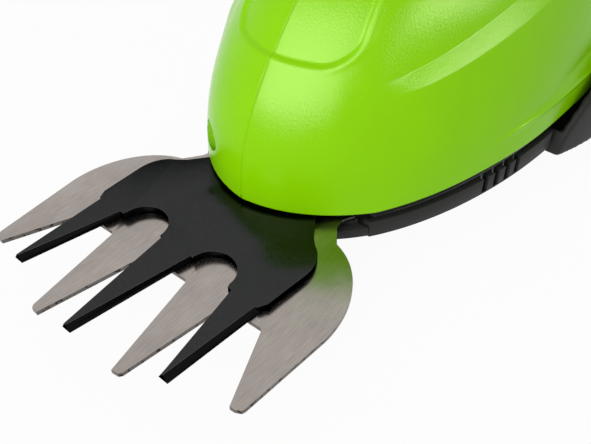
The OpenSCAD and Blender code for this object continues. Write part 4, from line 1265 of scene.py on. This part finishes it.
def make_screws():
    whole = None
    for y, z in [NOSE_SCREW] + BODY_SCREWS:
        obj = rod("housing_screw_set", (-SEAT_X - SCREW_HEAD_T, y, z), "x", SCREW_HEAD_T, WELL_R - SCREW_PLAY)
        for a, b in ((CROSS_HALF_W, CROSS_HALF_LEN), (CROSS_HALF_LEN, CROSS_HALF_W)):
            size = (FAR - SEAT_X - CROSS_FLOOR, 2*a, 2*b)
            boolean(obj, block("cross", (-FAR, y - a, z - b), size), "DIFFERENCE")
        boolean(obj, rod("shank", (-SEAT_X - SHANK_SINK, y, z), "x", SEAT_X + SHANK_IN, SHANK_R), "UNION")
        whole = obj if whole is None else boolean(whole, obj, "UNION")
    bevel(whole, SCREW_BEVEL, 2, 40)
    dress(whole, "main", "screw_steel", ["housing_screws"])


# Springs that shorten as the trigger and the lock button move

WIRE_R = 0.4
COIL_STEPS = 36
WIRE_STEP_DEG = 30


def make_spring(node, turns):
    """Round wire wound up the height of a CAD spring.
    """
    bottom = low(node)
    top = high(node)
    middle = (bottom + top)/2
    radius = (top.x - bottom.x)/2 - WIRE_R
    rise = top.z - bottom.z - 2*WIRE_R
    rings = []
    for step in np.linspace(0, 1, COIL_STEPS*turns + 1):
        turn = 2*math.pi*turns*step
        z = bottom.z + WIRE_R + rise*step
        ring = []
        for around in np.radians(np.arange(0, 360, WIRE_STEP_DEG)):
            r = radius + WIRE_R*math.cos(around)
            height = z + WIRE_R*math.sin(around)
            ring.append((middle.x + r*math.cos(turn), middle.y + r*math.sin(turn), height))
        rings.append(ring)
    obj = loft(node + "_coil", np.array(rings))
    shade(obj, 50)
    dress(obj, "main", SLOTS[node], [node])
    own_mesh(obj)


make_head()
make_body()
make_grip()
make_lower_blade()
make_upper_blade()
make_cassette()
make_arms()
make_trigger()
make_lock()
make_screws()
make_spring("trigger_spring", 6)
make_spring("lock_spring", 4)

# Finishes of the CAD nodes that stay
for node, obj in frame["nodes"].items():
    obj.data.materials.clear()
    obj.data.materials.append(FINISH[SLOTS[node]])


# Floor, light and background

LIGHT_TO = (0, -120, 20)
GLOSSY = bpy.data.collections.new("glossy pieces")
for name in ("head_left_skin", "head_right_skin"):
    GLOSSY.objects.link(bpy.data.objects[name])


def area_light(name, azimuth, elevation, distance, size, radiance, diffuse=True, slant=0):
    """Panel of light that faces the tool, slanted down to the right.

    Without diffuse light it only makes highlights, and only on the glossy pieces.
    """
    data = bpy.data.lights.new(name, "AREA")
    data.shape = "RECTANGLE"
    data.size = size[0]
    data.size_y = size[1]
    data.energy = radiance*math.pi*size[0]*size[1]
    light = bpy.data.objects.new(name, data)
    bpy.context.scene.collection.objects.link(light)
    a = math.radians(azimuth)
    e = math.radians(elevation)
    target = Vector(LIGHT_TO)*MM
    away = Vector((math.sin(a)*math.cos(e), -math.cos(a)*math.cos(e), math.sin(e)))
    level = Vector((math.cos(a), math.sin(a), 0))
    down = level.cross(away)
    across = level*math.cos(math.radians(slant)) + down*math.sin(math.radians(slant))
    light.visible_diffuse = diffuse
    if not diffuse:
        light.light_linking.receiver_collection = GLOSSY
    light.location = target + away*distance
    light.rotation_euler = Matrix((across, away.cross(across), away)).transposed().to_euler()


def background_rays(tree):
    """1 for rays that show the background: from the camera, and in reflections and glass."""
    path = tree.nodes.new("ShaderNodeLightPath")
    total = path.outputs["Is Camera Ray"]
    for kind in ("Is Glossy Ray", "Is Transmission Ray"):
        either = tree.nodes.new("ShaderNodeMath")
        either.operation = "MAXIMUM"
        tree.links.new(total, either.inputs[0])
        tree.links.new(path.outputs[kind], either.inputs[1])
        total = either.outputs[0]
    return total


WORLD_LIGHT = 0.49


def make_world():
    world = bpy.data.worlds.new("studio")
    bpy.context.scene.world = world
    world.use_nodes = True
    tree = world.node_tree
    tree.nodes.clear()
    out = tree.nodes.new("ShaderNodeOutputWorld")
    mix = tree.nodes.new("ShaderNodeMixShader")
    plain = tree.nodes.new("ShaderNodeBackground")
    plain.inputs["Strength"].default_value = WORLD_LIGHT
    white = tree.nodes.new("ShaderNodeBackground")
    for node in (plain, white):
        node.inputs["Color"].default_value = (1, 1, 1, 1)
    tree.links.new(background_rays(tree), mix.inputs["Fac"])
    tree.links.new(plain.outputs[0], mix.inputs[1])
    tree.links.new(white.outputs[0], mix.inputs[2])
    tree.links.new(mix.outputs[0], out.inputs["Surface"])


FLOOR_SHADOW = 0.05
FLOOR_HALF = 30000
FLOOR_COLOR = (0.85, 0.85, 0.85, 1)


def make_floor():
    corners = [(FLOOR_HALF*x, FLOOR_HALF*y, FLOOR_Z) for x, y in ((-1, -1), (1, -1), (1, 1), (-1, 1))]
    floor = new_object("floor", corners, [(0, 1, 2, 3)])
    mat = bpy.data.materials.new("floor")
    mat.use_nodes = True
    tree = mat.node_tree
    tree.nodes.clear()
    out = tree.nodes.new("ShaderNodeOutputMaterial")
    mix = tree.nodes.new("ShaderNodeMixShader")
    diffuse = tree.nodes.new("ShaderNodeBsdfDiffuse")
    diffuse.inputs["Color"].default_value = FLOOR_COLOR
    glow = tree.nodes.new("ShaderNodeEmission")
    glow.inputs["Color"].default_value = (1, 1, 1, 1)
    share = tree.nodes.new("ShaderNodeMath")
    share.operation = "MULTIPLY"
    share.inputs[1].default_value = 1 - FLOOR_SHADOW
    tree.links.new(background_rays(tree), share.inputs[0])
    tree.links.new(share.outputs[0], mix.inputs["Fac"])
    tree.links.new(diffuse.outputs[0], mix.inputs[1])
    tree.links.new(glow.outputs[0], mix.inputs[2])
    tree.links.new(mix.outputs[0], out.inputs["Surface"])
    floor.data.materials.append(mat)


# Angles in degrees, distances and sizes in metres
area_light("front_card", azimuth=7, elevation=36, distance=0.9, size=(1.15, 0.66), radiance=14, diffuse=False)
area_light("side_card", azimuth=100, elevation=24, distance=0.9, size=(0.66, 0.18), radiance=20,
           diffuse=False, slant=27)
area_light("key", azimuth=4, elevation=25, distance=1.2, size=(0.8, 0.8), radiance=3.8)
make_world()
make_floor()
bpy.context.scene.view_settings.view_transform = "Standard"
